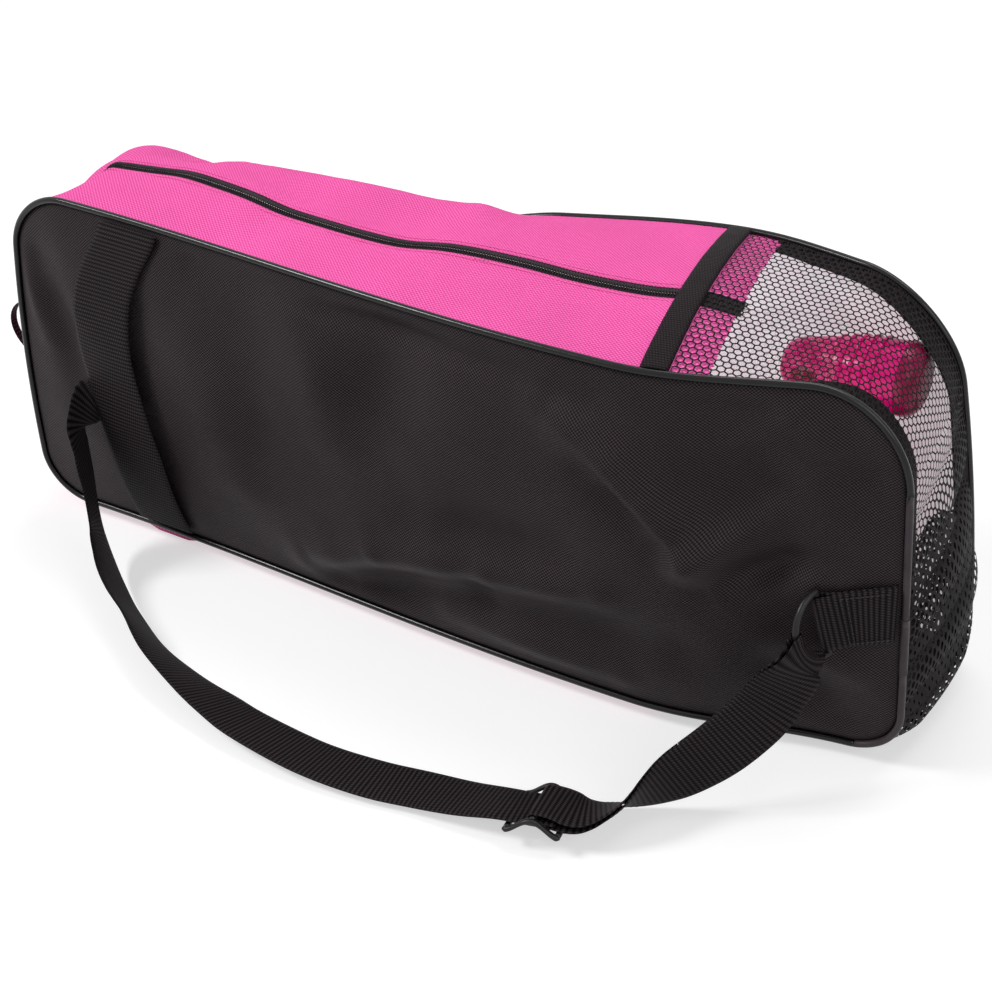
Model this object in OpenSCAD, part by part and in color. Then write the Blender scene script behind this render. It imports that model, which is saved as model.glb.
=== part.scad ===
// Roundnet set packed in its long carry bag.
// A soft bag of two stiff cloth panels and a zipped gusset with a net end,
// a shoulder strap with its adjuster, and the take-apart net frame inside.
// Origin: middle of the bag on the ground. X runs along the bag, Y to the back, Z up.

/* [Bag] */
// Length between the end pipings
bag_l = 676; // [660:1:700]
// Height between the top and bottom pipings
bag_h = 260; // [252:1:272]
// Height of the bottom pipings above the ground
foot_gap = 12; // [10:0.5:16]
// Distance of the front piping from the middle plane, at the bag's ends
front_y = 66; // [62:1:76]
// Distance of the back piping from the middle plane, at the bag's ends
back_y = 54; // [50:1:64]
// Extra swell of the front panel where the bag is fullest
front_bow = 24; // [10:1:30]
// Extra swell of the back panel where the bag is fullest
back_bow = 22; // [10:1:28]
// Slump of the back panel's top edge at the closed end
back_slump = 17; // [8:1:28]
// Lean of the closed end towards the net end, at its top
end_lean = 30; // [10:1:34]
// Crown of the front panel between its edges
front_belly = 14; // [6:1:18]
// Crown of the back panel between its edges
back_belly = 10; // [4:1:16]
// Cloth thickness
cloth_t = 1.2; // [0.8:0.1:1.6]
// Net thickness
net_t = 0.8; // [0.6:0.1:1.2]
// Radius of the edge piping
piping_r = 2.8; // [2:0.1:3.4]
// Clearance between sewn pieces
seam_gap = 0.4; // [0.3:0.05:0.6]

/* [Zip] */
// Width of the zip's slot between the cloth edges
zip_slot = 16; // [14:0.5:20]
// Width of the closed coil
coil_w = 6; // [5:0.1:7]
// Height of the coil
coil_h = 2.2; // [1.8:0.1:2.6]
// Length of the slider
slider_l = 14; // [12:0.5:16]
// Length of the pull tab
puller_l = 30; // [24:1:34]

/* [Webbing] */
// Width of the shoulder strap
strap_w = 38; // [34:0.5:39]
// Thickness of the webbing
web_t = 1.6; // [1.2:0.1:1.8]
// Width of the band sewn down the front
band_w = 50; // [44:1:56]

/* [Strap hardware] */
// Thickness of the D-ring's bar
ring_bar_d = 4.4; // [4:0.1:5]
// Radius of the ring's bow, to the bar's middle
bow_r = 22; // [21:0.5:24]
// Length of the adjuster, along the strap
glide_l = 36; // [34:1:42]
// Clear width of the adjuster
glide_clear = 40; // [40:0.5:44]

/* [Net frame] */
// Radius of the assembled rim, to the tube's middle
rim_r = 430; // [425:1:436]
// Outer radius of the rim tube
rim_tube_r = 11.5; // [10.5:0.1:12]
// Wall of the rim tube
rim_wall = 2.2; // [1.6:0.1:2.6]
// Length of a leg's body
leg_l = 77; // [74:0.5:78]
// Radius of a leg
leg_r = 24; // [22:0.25:24.5]
// Length of a leg's foot cap
foot_l = 12; // [10:0.5:13]
// Diameter of the balls
ball_d = 90; // [86:0.5:91]

/* [Hidden] */
$fn = 48;

black = [0.13, 0.11, 0.12];
webbing = [0.1, 0.09, 0.1];
pink = [0.98, 0.42, 0.7];
magenta = [0.82, 0.08, 0.38];
maroon = [0.45, 0.02, 0.2];

// ---- Small helpers ----
function mix(a, b, t) = a + (b - a) * t;
function clamp01(t) = min(max(t, 0), 1);
function unit(v) = v / norm(v);
function ease(t) = 0.5 - 0.5 * cos(180 * clamp01(t));
// A smooth hump of height 1 at c that falls to 0 at the two reaches
function hump(x, c, left, right) = 1 - ease(abs(x - c) / (x < c ? left : right));
function flat(list) = [for (part = list) for (item = part) item];

// ---- Shape of the bag ----
fullest_x = 165;
front_reach = [495, 160];
back_reach = [260, 165];
front_lean = 8;
slump_from = -40;
slump_to = 215;
skew = 12;
skew_x = 185;
skew_reach = [250, 140];
// The net end leans back at its top, the back panel more than the front one
net_lean = [3, 25];
back_end_lean = 22;
lean_from = [60, 160];
mid_z = foot_gap + bag_h / 2;
top_z = foot_gap + bag_h;

// Corner radii of the panels: top left, top right, bottom left, bottom right
r_tl = 45;
r_tr = 62;
r_bl = 36;
r_br = 34;

// Stations round the panel's outline, from the left middle over the top and back below
side_n = 2;
corner_n = 5;
pink_n = 16;
net_n = 3;
half_n = 2 * side_n + 2 * corner_n + pink_n + 1 + net_n;
loop_n = 2 * half_n;
bind_x = [175, 195];
bind_s = side_n + corner_n + pink_n;

function edge_x(k, x0, x1) =
    k <= pink_n ? mix(x0, bind_x[0], k / pink_n)
    : k == pink_n + 1 ? bind_x[1]
    : mix(bind_x[1], x1, (k - pink_n - 1) / net_n);

function half_loop(up, ra, rb) = concat(
    [for (i = [0:side_n - 1]) [-bag_l / 2, up * (bag_h / 2 - ra) * i / side_n]],
    [for (i = [0:corner_n - 1]) let (a = 90 * i / corner_n)
        [-bag_l / 2 + ra - ra * cos(a), up * (bag_h / 2 - ra + ra * sin(a))]],
    [for (k = [0:pink_n + net_n])
        [edge_x(k, -bag_l / 2 + ra, bag_l / 2 - rb), up * bag_h / 2]],
    [for (i = [0:corner_n - 1]) let (a = 90 * i / corner_n)
        [bag_l / 2 - rb + rb * sin(a), up * (bag_h / 2 - rb + rb * cos(a))]],
    [for (i = [0:side_n - 1]) [bag_l / 2, up * (bag_h / 2 - rb) * (1 - i / side_n)]]);

upper = half_loop(1, r_tl, r_tr);
lower = half_loop(-1, r_bl, r_br);
outline = concat(upper, [[bag_l / 2, 0]], [for (i = [half_n - 1:-1:1]) lower[i]]);

// Outline point at a whole or part station, in the panel's own plane
function around(s) = s - loop_n * floor(s / loop_n);
function outline_at(s) = let (i = floor(around(s)), t = around(s) - i)
    mix(outline[i], outline[(i + 1) % loop_n], t);
// Outward direction of the outline
function outward(s) = let (p = outline_at(s + 0.5), q = outline_at(s - 0.5), d = unit(p - q))
    [-d[1], 0, d[0]];

function topness(z) = clamp01((z - foot_gap) / bag_h);
function front_plane(x, z) = let (b = hump(x, fullest_x, front_reach[0], front_reach[1]))
    -(front_y + b * (front_bow + front_lean * topness(z)));
function back_plane(x) = back_y + back_bow * hump(x, fullest_x, back_reach[0], back_reach[1]);
function slump(x, z) = back_slump * topness(z) * (1 - ease((x - slump_from) / (slump_to - slump_from)));
function skewed(x) = skew * hump(x, skew_x, skew_reach[0], skew_reach[1]);
function leaned(x, z, end, net) = pow(topness(z), 2) * (
    end * ease((-x - lean_from[0]) / (bag_l / 2 - lean_from[0]))
    - net * ease((x - lean_from[1]) / (bag_l / 2 - lean_from[1])));
function front_lean_at(x, z) = leaned(x, z, end_lean, net_lean[0]);
function back_lean_at(x, z) = leaned(x, z, end_lean + back_end_lean, net_lean[1]);

// A point of the front or back panel's plane
function front_pt(p) = let (z = mid_z + p[1], x = p[0] + skewed(p[0]) + front_lean_at(p[0], z))
    [x, front_plane(x, z), z];
function back_pt(p) = let (z = mid_z + p[1], x = p[0] - skewed(p[0]) + back_lean_at(p[0], z))
    [x, back_plane(x), z - slump(x, z)];
function front_edge(s) = front_pt(outline_at(s));
function back_edge(s) = back_pt(outline_at(s));

// Swell of the gusset out of the line between the two pipings
crown_at = [[-338, 9], [-190, 15], [-110, 17], [-45, 9], [30, 11], [110, 6], [180, 9], [240, 2], [338, 2]];
function table(t, x, i = 0) =
    i >= len(t) - 2 || x < t[i + 1][0]
        ? mix(t[i][1], t[i + 1][1], ease((x - t[i][0]) / (t[i + 1][0] - t[i][0])))
        : table(t, x, i + 1);
end_crown = 6;
net_crown = 3;
flat_share = 1.34;
function crown(s, v) = let (p = outline_at(s), n = outward(s), arch = 4 * v * (1 - v))
    max(n[2], 0) * table(crown_at, p[0]) * arch
    + max(-n[2], 0) * foot_gap * min(1, flat_share * arch)
    + pow(max(-n[0], 0), 2) * end_crown * arch + pow(max(n[0], 0), 2) * net_crown * arch;

// A point of the gusset: station s, share v from front to back, offset along its outward side
function gusset(s, v, off = 0) =
    mix(front_edge(s), back_edge(s), v) + outward(s) * (crown(s, v) + off);
function gusset_w(s) = norm(back_edge(s) - front_edge(s));

// ---- Solids from grids of points ----
function quad(a, b, c, d) = [[a, b, c], [a, c, d]];
// Faces of a closed slab whose outer and inner sheets have rows x cols points
function slab_faces(rows, cols) = let (m = rows * cols) flat(concat(
    [for (i = [0:rows - 2]) for (j = [0:cols - 2]) let (a = i * cols + j)
        quad(a, a + 1, a + cols + 1, a + cols)],
    [for (i = [0:rows - 2]) for (j = [0:cols - 2]) let (a = m + i * cols + j)
        quad(a, a + cols, a + cols + 1, a + 1)],
    [for (j = [0:cols - 2]) quad(j, m + j, m + j + 1, j + 1)],
    [for (j = [0:cols - 2]) let (a = (rows - 1) * cols + j) quad(a, a + 1, m + a + 1, m + a)],
    [for (i = [0:rows - 2]) let (a = i * cols) quad(a, a + cols, m + a + cols, m + a)],
    [for (i = [0:rows - 2]) let (a = i * cols + cols - 1) quad(a, m + a, m + a + cols, a + cols)]));

module slab(outer, inner) {
    rows = len(outer);
    polyhedron(concat(flat(outer), flat(inner)), slab_faces(rows, len(outer[0])));
}

// Stations from a to b, ends included
function stations(a, b) = concat([a], [for (s = [floor(a) + 1:ceil(b) - 1]) s], [b]);

// A strip of gusset cloth; edges are functions of the station as [share, millimetres]
module strip(a, b, v0, v1, t, drop = 0, cols = 4) {
    function share(s, e) = e[0] + e[1] / gusset_w(s);
    function row(s, off) = [for (j = [0:cols]) gusset(s, mix(share(s, v0), share(s, v1), j / cols), off)];
    slab([for (s = stations(a, b)) row(s, -drop)], [for (s = stations(a, b)) row(s, -drop - t)]);
}

// A tube of constant radius along a closed or open list of stations of an edge
module edge_tube(pts, normals, r, sides, closed) {
    n = len(pts);
    ring = [for (i = [0:n - 1]) for (k = [0:sides - 1]) let (a = 360 * (k + 0.5) / sides)
        pts[i] + normals[i] * r * cos(a) + [0, r * sin(a), 0]];
    wall = [for (i = [0:closed ? n - 1 : n - 2]) for (k = [0:sides - 1])
        let (a = i * sides + k, b = i * sides + (k + 1) % sides, o = ((i + 1) % n) * sides)
            quad(a, b, o + (k + 1) % sides, o + k)];
    caps = closed ? [] : [[for (k = [sides - 1:-1:0]) k], [for (k = [0:sides - 1]) (n - 1) * sides + k]];
    polyhedron(ring, concat(flat(wall), caps));
}

// ---- Bag panels ----
panel_t = [0, 0.12, 0.3, 0.55, 0.8];
spine = (bag_l - bag_h) / 2;
edge_inset = piping_r + seam_gap + 0.6;
// Share by which the panel's inner rings bulge towards the bag's ends
side_round = 0.04;
function panel_flat(i, t) = let (p = outline[i], q = outward(i),
        rim = p - [q[0], q[2]] * edge_inset, c = [min(max(p[0], -spine), spine), 0],
        f = mix(rim, c, t), bulge = side_round * t * (1 - pow(2 * p[1] / bag_h, 2)))
    [f[0] * (1 + bulge), f[1]];
function swell(t) = 1 - pow(1 - t, 2);
function panel_ring(t, front, off) = [for (i = [0:loop_n - 1]) let (p = panel_flat(i, t))
    front ? front_pt(p) - [0, front_belly * swell(t) - off, 0]
          : back_pt(p) + [0, back_belly * swell(t) - off, 0]];

module panel(front) {
    rings = len(panel_t);
    pts = concat(flat([for (t = panel_t) panel_ring(t, front, 0)]),
        flat([for (t = panel_t) panel_ring(t, front, cloth_t)]));
    m = rings * loop_n;
    function next(i) = (i + 1) % loop_n;
    function skin(base, turn) = concat(
        flat([for (r = [0:rings - 2]) for (i = [0:loop_n - 1])
            let (a = base + r * loop_n + i, b = base + r * loop_n + next(i))
                turn ? quad(a, a + loop_n, b + loop_n, b) : quad(a, b, b + loop_n, a + loop_n)]),
        flat([for (i = [0:half_n - 1])
            let (o = base + (rings - 1) * loop_n, a = o + i, b = o + i + 1,
                c = o + loop_n - i - 1, d = o + (loop_n - i) % loop_n)
                i == 0 ? [turn ? [a, c, b] : [a, b, c]]
                : i == half_n - 1 ? [turn ? [a, d, b] : [a, b, d]]
                : turn ? quad(a, d, c, b) : quad(a, b, c, d)]));
    rim = flat([for (i = [0:loop_n - 1]) front ? quad(i, m + i, m + next(i), next(i))
                                               : quad(i, next(i), m + next(i), m + i)]);
    polyhedron(pts, concat(skin(0, !front), skin(m, front), rim));
}

module front_panel() { color(black) panel(true); }
module back_panel() { color(black) panel(false); }

// Height of the front panel's outer face over a point of the panel, as a Y coordinate
function front_face(x, z) =
    let (flat_x = x - front_lean_at(x, z),
        edge = min(bag_h / 2 - abs(z - mid_z), bag_l / 2 - abs(flat_x)) - edge_inset,
        t = clamp01(edge / (bag_h / 2 - edge_inset)))
    front_plane(x, z) - front_belly * swell(t);

// ---- Piping ----
sleeve_s = [half_n + 0.42, half_n + 1.3];
sleeve_r = piping_r + 0.4;
sleeve_end = 0.02;
module piping(front, from, to) {
    list = [for (s = stations(from, to)) s];
    edge_tube([for (s = list) front ? front_edge(s) : back_edge(s)],
        [for (s = list) outward(s)], piping_r, 8, false);
}
module front_piping() { color(black) piping(true, sleeve_s[1] + sleeve_end, sleeve_s[0] - sleeve_end + loop_n); }
module back_piping() { color(black) piping(false, sleeve_end / 2, loop_n - sleeve_end / 2); }
module piping_joint_sleeve() {
    list = stations(sleeve_s[0], sleeve_s[1]);
    color([0.25, 0.23, 0.24]) edge_tube([for (s = list) front_edge(s)],
        [for (s = list) outward(s)], sleeve_r, 12, false);
}

// ---- Gusset ----
seam_s = 0.75;
edge_v = piping_r + seam_gap;
zip_v = 0.42;
join = 0.02;
front_rim = [0, edge_v];
back_rim = [1, -edge_v];
zip_front = [zip_v, -zip_slot / 2];
zip_back = [zip_v, zip_slot / 2];

module gusset_front_strip() { color(pink) strip(seam_s, bind_s - join, front_rim, zip_front, cloth_t); }
module gusset_back_strip() { color(pink) strip(seam_s, bind_s - join, zip_back, back_rim, cloth_t); }
module gusset_bottom() {
    color(pink) strip(loop_n - bind_s + join, loop_n + seam_s - join, front_rim, back_rim, cloth_t, cols = 8);
}
module mesh_end() {
    color([0.2, 0.2, 0.2])
        strip(bind_s + 1 + join, loop_n - bind_s - 1 - join, front_rim, back_rim, net_t, cols = 6);
}
module mesh_binding_top() { color(black) strip(bind_s, bind_s + 1, front_rim, back_rim, 2, -0.3, 6); }
module mesh_binding_bottom() {
    color(black) strip(loop_n - bind_s - 1, loop_n - bind_s, front_rim, back_rim, 1.6, 0, 8);
}

// Seam tapes behind the net, along both pipings
tape_front_w = 14;
tape_back_w = 26;
tape_t = 1;
tape_drop = net_t + 2;
module seam_tape(v0, v1) {
    strip(bind_s + 1 + join, loop_n - bind_s - 1 - join, v0, v1, tape_t, tape_drop, 2);
}
module seam_tape_front() { color(black) seam_tape(front_rim, [0, edge_v + tape_front_w]); }
module seam_tape_back() { color(black) seam_tape([1, -edge_v - tape_back_w], back_rim); }

// ---- Zip ----
coil_split = 0.7;
tape_gap = 0.4;
zip_tape_t = 0.7;
zip_sink = 0.2;
coil_rise = 0.4;
coil_from = seam_s + 0.28;
module zip_tape_front() {
    color(black) strip(seam_s, bind_s - join, [zip_v, -zip_slot / 2 + tape_gap],
        [zip_v, -coil_w / 2 - tape_gap], zip_tape_t, zip_sink, 1);
}
module zip_tape_back() {
    color(black) strip(seam_s, bind_s - join, [zip_v, coil_w / 2 + tape_gap],
        [zip_v, zip_slot / 2 - tape_gap], zip_tape_t, zip_sink, 1);
}
module zip_coil_front() {
    color(webbing) strip(coil_from, bind_s - join, [zip_v, -coil_w / 2], [zip_v, -coil_split],
        coil_h, -coil_rise, 1);
}
module zip_coil_back() {
    color(webbing) strip(coil_from, bind_s - join, [zip_v, coil_split], [zip_v, coil_w / 2],
        coil_h, -coil_rise, 1);
}
module zip_end_stop() {
    color(webbing) strip(coil_from - 0.14, coil_from - 0.03, [zip_v, -coil_w / 2], [zip_v, coil_w / 2],
        coil_h, -coil_rise, 1);
}

// The zip line is straight over the closed end's upper stations: the slider's frame there
zip_from = gusset(1, zip_v);
zip_to = gusset(2, zip_v);
zip_dir = unit(zip_to - zip_from);
zip_lean = atan2(zip_dir[0], zip_dir[2]);
zip_at = zip_from + zip_dir * (slider_l / 2 + 2);
coil_x = coil_h / 2 - coil_rise;
slider_w = 10;
plate_t = 1.2;
slider_play = 0.5;
pin_r = 1.1;
pin_play = 0.08;
crown_h = 4.2;
eye_r = pin_r + pin_play;
puller_t = 2.4;
puller_w = 8;
function slider_out() = coil_h / 2 + slider_play;
pin_x = coil_x - slider_out() - plate_t - crown_h + pin_r + 0.6;
pin_z = 2;
module on_zip() { translate(zip_at) rotate([0, zip_lean, 0]) children(); }

module zip_slider() {
    color([0.16, 0.15, 0.16]) on_zip() {
        for (side = [-1, 1])
            translate([coil_x + side * (slider_out() + plate_t / 2), 0, 0])
                cube([plate_t, slider_w, slider_l], center = true);
        // bridge between the plates, in the slit between the two coils
        translate([coil_x, 0, -slider_l / 2 + 2.5])
            cube([2 * slider_out() + 0.2, 2 * (coil_split - 0.25), 3], center = true);
        // ears that carry the puller's pin
        for (side = [-1, 1])
            translate([coil_x - slider_out() - plate_t - crown_h / 2 + 0.1, side * (puller_w / 4 + 1.3), pin_z])
                cube([crown_h, 1.2, 5], center = true);
        translate([pin_x, 0, pin_z]) rotate([90, 0, 0])
            cylinder(r = pin_r, h = puller_w / 2 + 3, center = true);
    }
}

// Pull tab: a narrow eye on the pin and a wider grip that hangs from it
module zip_puller() {
    eye_w = puller_w / 2;
    color([0.16, 0.15, 0.16]) on_zip() translate([pin_x, 0, pin_z]) difference() {
        union() {
            rotate([90, 0, 0]) cylinder(r = puller_t / 2 + 0.9, h = eye_w, center = true);
            translate([-puller_t / 2, -eye_w / 2, -9]) cube([puller_t, eye_w, 9]);
            translate([-puller_t / 2, -puller_w / 2, -puller_l]) cube([puller_t, puller_w, puller_l - 8]);
        }
        rotate([90, 0, 0]) cylinder(r = eye_r, h = puller_w, center = true);
    }
}

// Webbing loop on the closed end, to hold while the zip is pulled
loop_w = 20;
loop_reach = 28;
loop_h = 48;
loop_v = 0.18;
loop_off = 0.7;
module end_loop() {
    h = loop_h;
    up = gusset(1, loop_v) - gusset(-1, loop_v);
    color(webbing) translate(gusset(0, loop_v)) rotate([0, atan2(up[0], up[2]), 0])
        translate([-loop_off, loop_w / 2, 0]) rotate([90, 0, 0]) linear_extrude(loop_w) {
            difference() {
                union() {
                    translate([-loop_reach + h / 2, 0]) circle(d = h);
                    translate([-loop_reach + h / 2, -h / 2]) square([loop_reach - h / 2, h]);
                }
                translate([-loop_reach + h / 2, 0]) circle(d = h - 2 * web_t);
                translate([-loop_reach + h / 2, -h / 2 + web_t])
                    square([loop_reach, h - 2 * web_t]);
                translate([0, -h]) square(2 * h);
            }
            for (side = [-1, 1]) translate([-web_t, side * (h / 2 + 4) - 4.8]) square([web_t, 9.6]);
        }
}

// ---- Webbing ribbons ----
// Each control point is a place and the direction of the ribbon's width
function spline(a, b, c, d, t) = b + 0.5 * t * (c - a + t * (2 * a - 5 * b + 4 * c - d
    + t * (3 * (b - c) + d - a)));
function smooth(list, steps) = let (n = len(list)) concat([for (i = [0:n - 2]) for (k = [0:steps - 1])
    spline(list[max(i - 1, 0)], list[i], list[i + 1], list[min(i + 2, n - 1)], k / steps)],
    [list[n - 1]]);
function along(p, i) = unit(p[min(i + 1, len(p) - 1)] - p[max(i - 1, 0)]);

// Band down the front: its middle line on the panel, and how far it stands off
band_line = [[-204, 267.5, 2.4], [-208, 257, 4], [-219, 238, 6], [-227, 218, 7.5], [-231, 196, 8],
    [-232, 172, 8], [-230, 146, 7.5], [-227, 118, 7.5], [-225, 92, 6.5], [-226, 66, 5], [-226, 40, 3.5],
    [-224, 18, 2.2]];
module front_band() {
    list = smooth(band_line, 2);
    function sheet(lift) = [for (p = list) [for (side = [-1, 0, 1]) let (x = p[0] + side * band_w / 2)
        [x, front_face(x, p[1]) - p[2] - lift, p[1]]]];
    color(webbing) slab(sheet(web_t), sheet(0));
}

// ---- Strap hardware: where the ring hangs and where the adjuster lies ----
web_play = 0.4;
bar_r = ring_bar_d / 2;
wrap_r = bar_r + 0.3 + web_t / 2;
ring_x = 293;
ring_z = 117;
ring_off = 3.4;
ring_tilt = 13;
ring_turn = 70;
ring_hinge = [ring_x, front_face(ring_x, ring_z) - wrap_r - web_t / 2 - ring_off, ring_z];
// Ring directions: from its bar to the bow's top, down the bar, and square to the ring
ring_q = [-cos(ring_turn) * cos(ring_tilt), -sin(ring_turn), -cos(ring_turn) * sin(ring_tilt)];
ring_w = [sin(ring_tilt), 0, -cos(ring_tilt)];
ring_n = cross(ring_q, ring_w);
// The strap sits on the lower part of the bow: its middle's angle and half its spread
sit = 30;
spread = 42;
pull = ring_q * cos(sit) + ring_w * sin(sit);
sit_side = ring_w * cos(sit) - ring_q * sin(sit);
sit_at = ring_hinge + bow_r * pull;
// The adjuster lies tilted on the ground: its middle line's height is that of the low rail and its lean
glide_turn = 12;
glide_tilt = 14;
glide_bar_r = 1.8;
rail_w = 4;
glide_foot = 0.5;
glide_o = [163, -204, (glide_clear / 2 + rail_w) * sin(glide_tilt)];
glide_dir = [cos(glide_turn), sin(glide_turn), 0];
glide_cross = [sin(glide_turn) * cos(glide_tilt), -cos(glide_turn) * cos(glide_tilt), sin(glide_tilt)];
glide_up = cross(glide_cross, glide_dir);
glide_play = 0.8;
glide_strap_z = glide_foot + 2 * glide_bar_r + glide_play + web_t / 2;
glide_wrap_r = glide_bar_r + 0.3 + web_t / 2;
glide_mid_z = glide_strap_z + web_t / 2 + web_play + web_t / 2 + glide_wrap_r;
function glide_pt(a, h) = glide_o + a * glide_dir + h * glide_up;
across = [-1, -0.5, 0, 0.5, 1];

// Shoulder strap: from under the band, down to the ground, round in front and up to the ring.
// Place of the middle line, then the direction of the width.
strap_route = [
    [[-214, -87, 125], [0, 0, 1]], [[-238, -85.9, 125], [0, 0, 1]], [[-256, -85.7, 125], [0, 0, 1]],
    [[-260.5, -101, 112.5], [0.22, -0.36, 0.9]], [[-259.5, -104.5, 93], [0.42, -0.8, 0.25]],
    [[-258, -106, 70], [0.5, -0.85, 0]], [[-250, -116, 37], [0.52, -0.8, 0.15]],
    [[-231, -132, 22], [0.5, -0.75, 0.35]], [[-204, -153, 19], [0.45, -0.7, 0.5]],
    [[-174, -171, 17.5], [0.44, -0.68, 0.56]], [[-141, -190, 16.5], [0.38, -0.76, 0.5]],
    [[-107, -202, 12.5], [0.3, -0.85, 0.42]], [[-76, -210, 9.5], [0.2, -0.93, 0.3]],
    [[-48, -216, 7.5], [0.12, -0.95, 0.24]], [[3, -221, 5.2], [0, -0.98, 0.18]],
    [[47, -219, 4], [0.05, -0.99, 0.12]], [[80, -214, 4], [0.12, -0.98, 0.12]],
    [[112, -211, 7], [0.18, -0.96, 0.18]], [glide_pt(-24, glide_strap_z), glide_cross],
    [glide_pt(-8, glide_strap_z), glide_cross], [glide_pt(8, glide_strap_z), glide_cross],
    [glide_pt(26, glide_strap_z), glide_cross],
    [[204, -186, 15], [0.2, -0.8, 0.5]], [[219, -171, 21], [-0.25, -0.7, 0.65]],
    [[235, -156, 32], [-0.6, -0.4, 0.65]], [[254, -141, 48], [-0.72, -0.2, 0.62]],
    [[271, -126, 67], [-0.7, -0.15, 0.7]], [[281, -117, 84], [-0.55, -0.3, 0.78]],
    [sit_at + ring_n * wrap_r + 12 * pull, -sit_side],
    [sit_at + ring_n * wrap_r + 4 * pull, -sit_side], [sit_at + ring_n * wrap_r, -sit_side]];
strap_steps = 3;
glide_index = 20 * strap_steps - 1;
strap_line = smooth([for (p = strap_route) p[0]], strap_steps);
strap_width = smooth([for (p = strap_route) p[1]], strap_steps);
function strap_face(i) = let (d = along(strap_line, i)) unit(cross(d, strap_width[i]));
// How far the webbing is bent to the bow's curve: fully at the ring, not at all farther off
bow_rows = 9;
function bow_share(i) = 1 - ease((len(strap_line) - 1 - i) / bow_rows);
// One row across the strap at place i, shifted off its middle line along its face
function strap_row(i, shift) = let (d = along(strap_line, i), f = strap_face(i), s = cross(f, d),
        b = bow_share(i))
    [for (u = across) strap_line[i] + f * shift + s * mix(u * strap_w / 2, bow_r * sin(spread * u), b)
        + d * b * bow_r * (1 - cos(spread * u))];
strap_last = len(strap_line) - 1;
module shoulder_strap() {
    color(webbing) slab([for (i = [0:strap_last]) strap_row(i, web_t / 2)],
        [for (i = [0:strap_last]) strap_row(i, -web_t / 2)]);
}

// The strap's other end lies on the first layer, from the ring back to the adjuster's middle bar
layer_step = web_t + 1.8;
strap_end_len = 14;
function layer_off(i) = layer_step
    + (glide_mid_z + glide_wrap_r - glide_strap_z - layer_step) * (1 - ease((i - glide_index) / 7))
    + (2 * wrap_r - layer_step) * (1 - ease((strap_last - i) / 9));
// A row on the bow at turn a round its bar, and a row on the adjuster's middle bar
function bow_row(a, r) = [for (u = across) let (out = pull * cos(spread * u) - sit_side * sin(spread * u))
    ring_hinge + bow_r * out + r * (out * cos(a) + ring_n * sin(a))];
function glide_row(a, z) = [for (u = across) glide_pt(a, z) + u * strap_w / 2 * glide_cross];
function return_sheet(lift) = concat(
    [for (a = [90:22.5:270]) bow_row(a, wrap_r + lift)],
    [for (i = [strap_last - 1:-1:glide_index + 1]) strap_row(i, -layer_off(i) - lift)],
    [for (a = [90:30:270]) glide_row((glide_wrap_r + lift) * cos(a), glide_mid_z + (glide_wrap_r + lift) * sin(a))],
    [for (x = [0.5, 1]) glide_row(x * strap_end_len, glide_mid_z - glide_wrap_r - lift)]);
module strap_return() { color(webbing) slab(return_sheet(web_t / 2), return_sheet(-web_t / 2)); }

// Adjuster: two side rails, two outer bars under the strap and a raised middle bar
module strap_triglide() {
    bar_len = glide_clear + rail_w;
    reach = glide_l / 2 - glide_bar_r;
    color([0.12, 0.11, 0.12]) translate(glide_o) rotate([0, 0, glide_turn]) rotate([-glide_tilt, 0, 0]) {
        for (side = [-1, 1]) translate([side * reach, 0, glide_foot + glide_bar_r]) rotate([90, 0, 0])
            cylinder(r = glide_bar_r, h = bar_len, center = true);
        translate([0, 0, glide_mid_z]) rotate([90, 0, 0])
            cylinder(r = glide_bar_r, h = bar_len, center = true);
        for (side = [-1, 1]) translate([0, side * (glide_clear / 2 + rail_w / 2) + rail_w / 2, 0])
            rotate([90, 0, 0]) linear_extrude(rail_w) {
                for (end = [-1, 1]) translate([end * reach, glide_foot + glide_bar_r])
                    circle(r = glide_bar_r);
                translate([0, glide_mid_z]) circle(r = glide_bar_r);
                polygon([[-reach, glide_foot], [reach, glide_foot], [reach, glide_foot + 2 * glide_bar_r],
                    [glide_bar_r, glide_mid_z + glide_bar_r * 0.9], [-glide_bar_r, glide_mid_z + glide_bar_r * 0.9],
                    [-reach, glide_foot + 2 * glide_bar_r]]);
            }
    }
}

// D-ring: a straight bar held in the tab's fold and a half-round bow for the strap
module hung() { translate(ring_hinge) rotate([0, -ring_tilt, 0]) children(); }
module strap_ring() {
    color([0.12, 0.11, 0.12]) hung() rotate([0, 0, ring_turn]) {
        cylinder(r = bar_r, h = 2 * bow_r, center = true);
        rotate([90, 0, 0]) rotate([0, 0, 90]) rotate_extrude(angle = 180)
            translate([bow_r, 0]) circle(r = bar_r);
        for (z = [-bow_r, bow_r]) translate([0, 0, z]) sphere(r = bar_r);
    }
}

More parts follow.
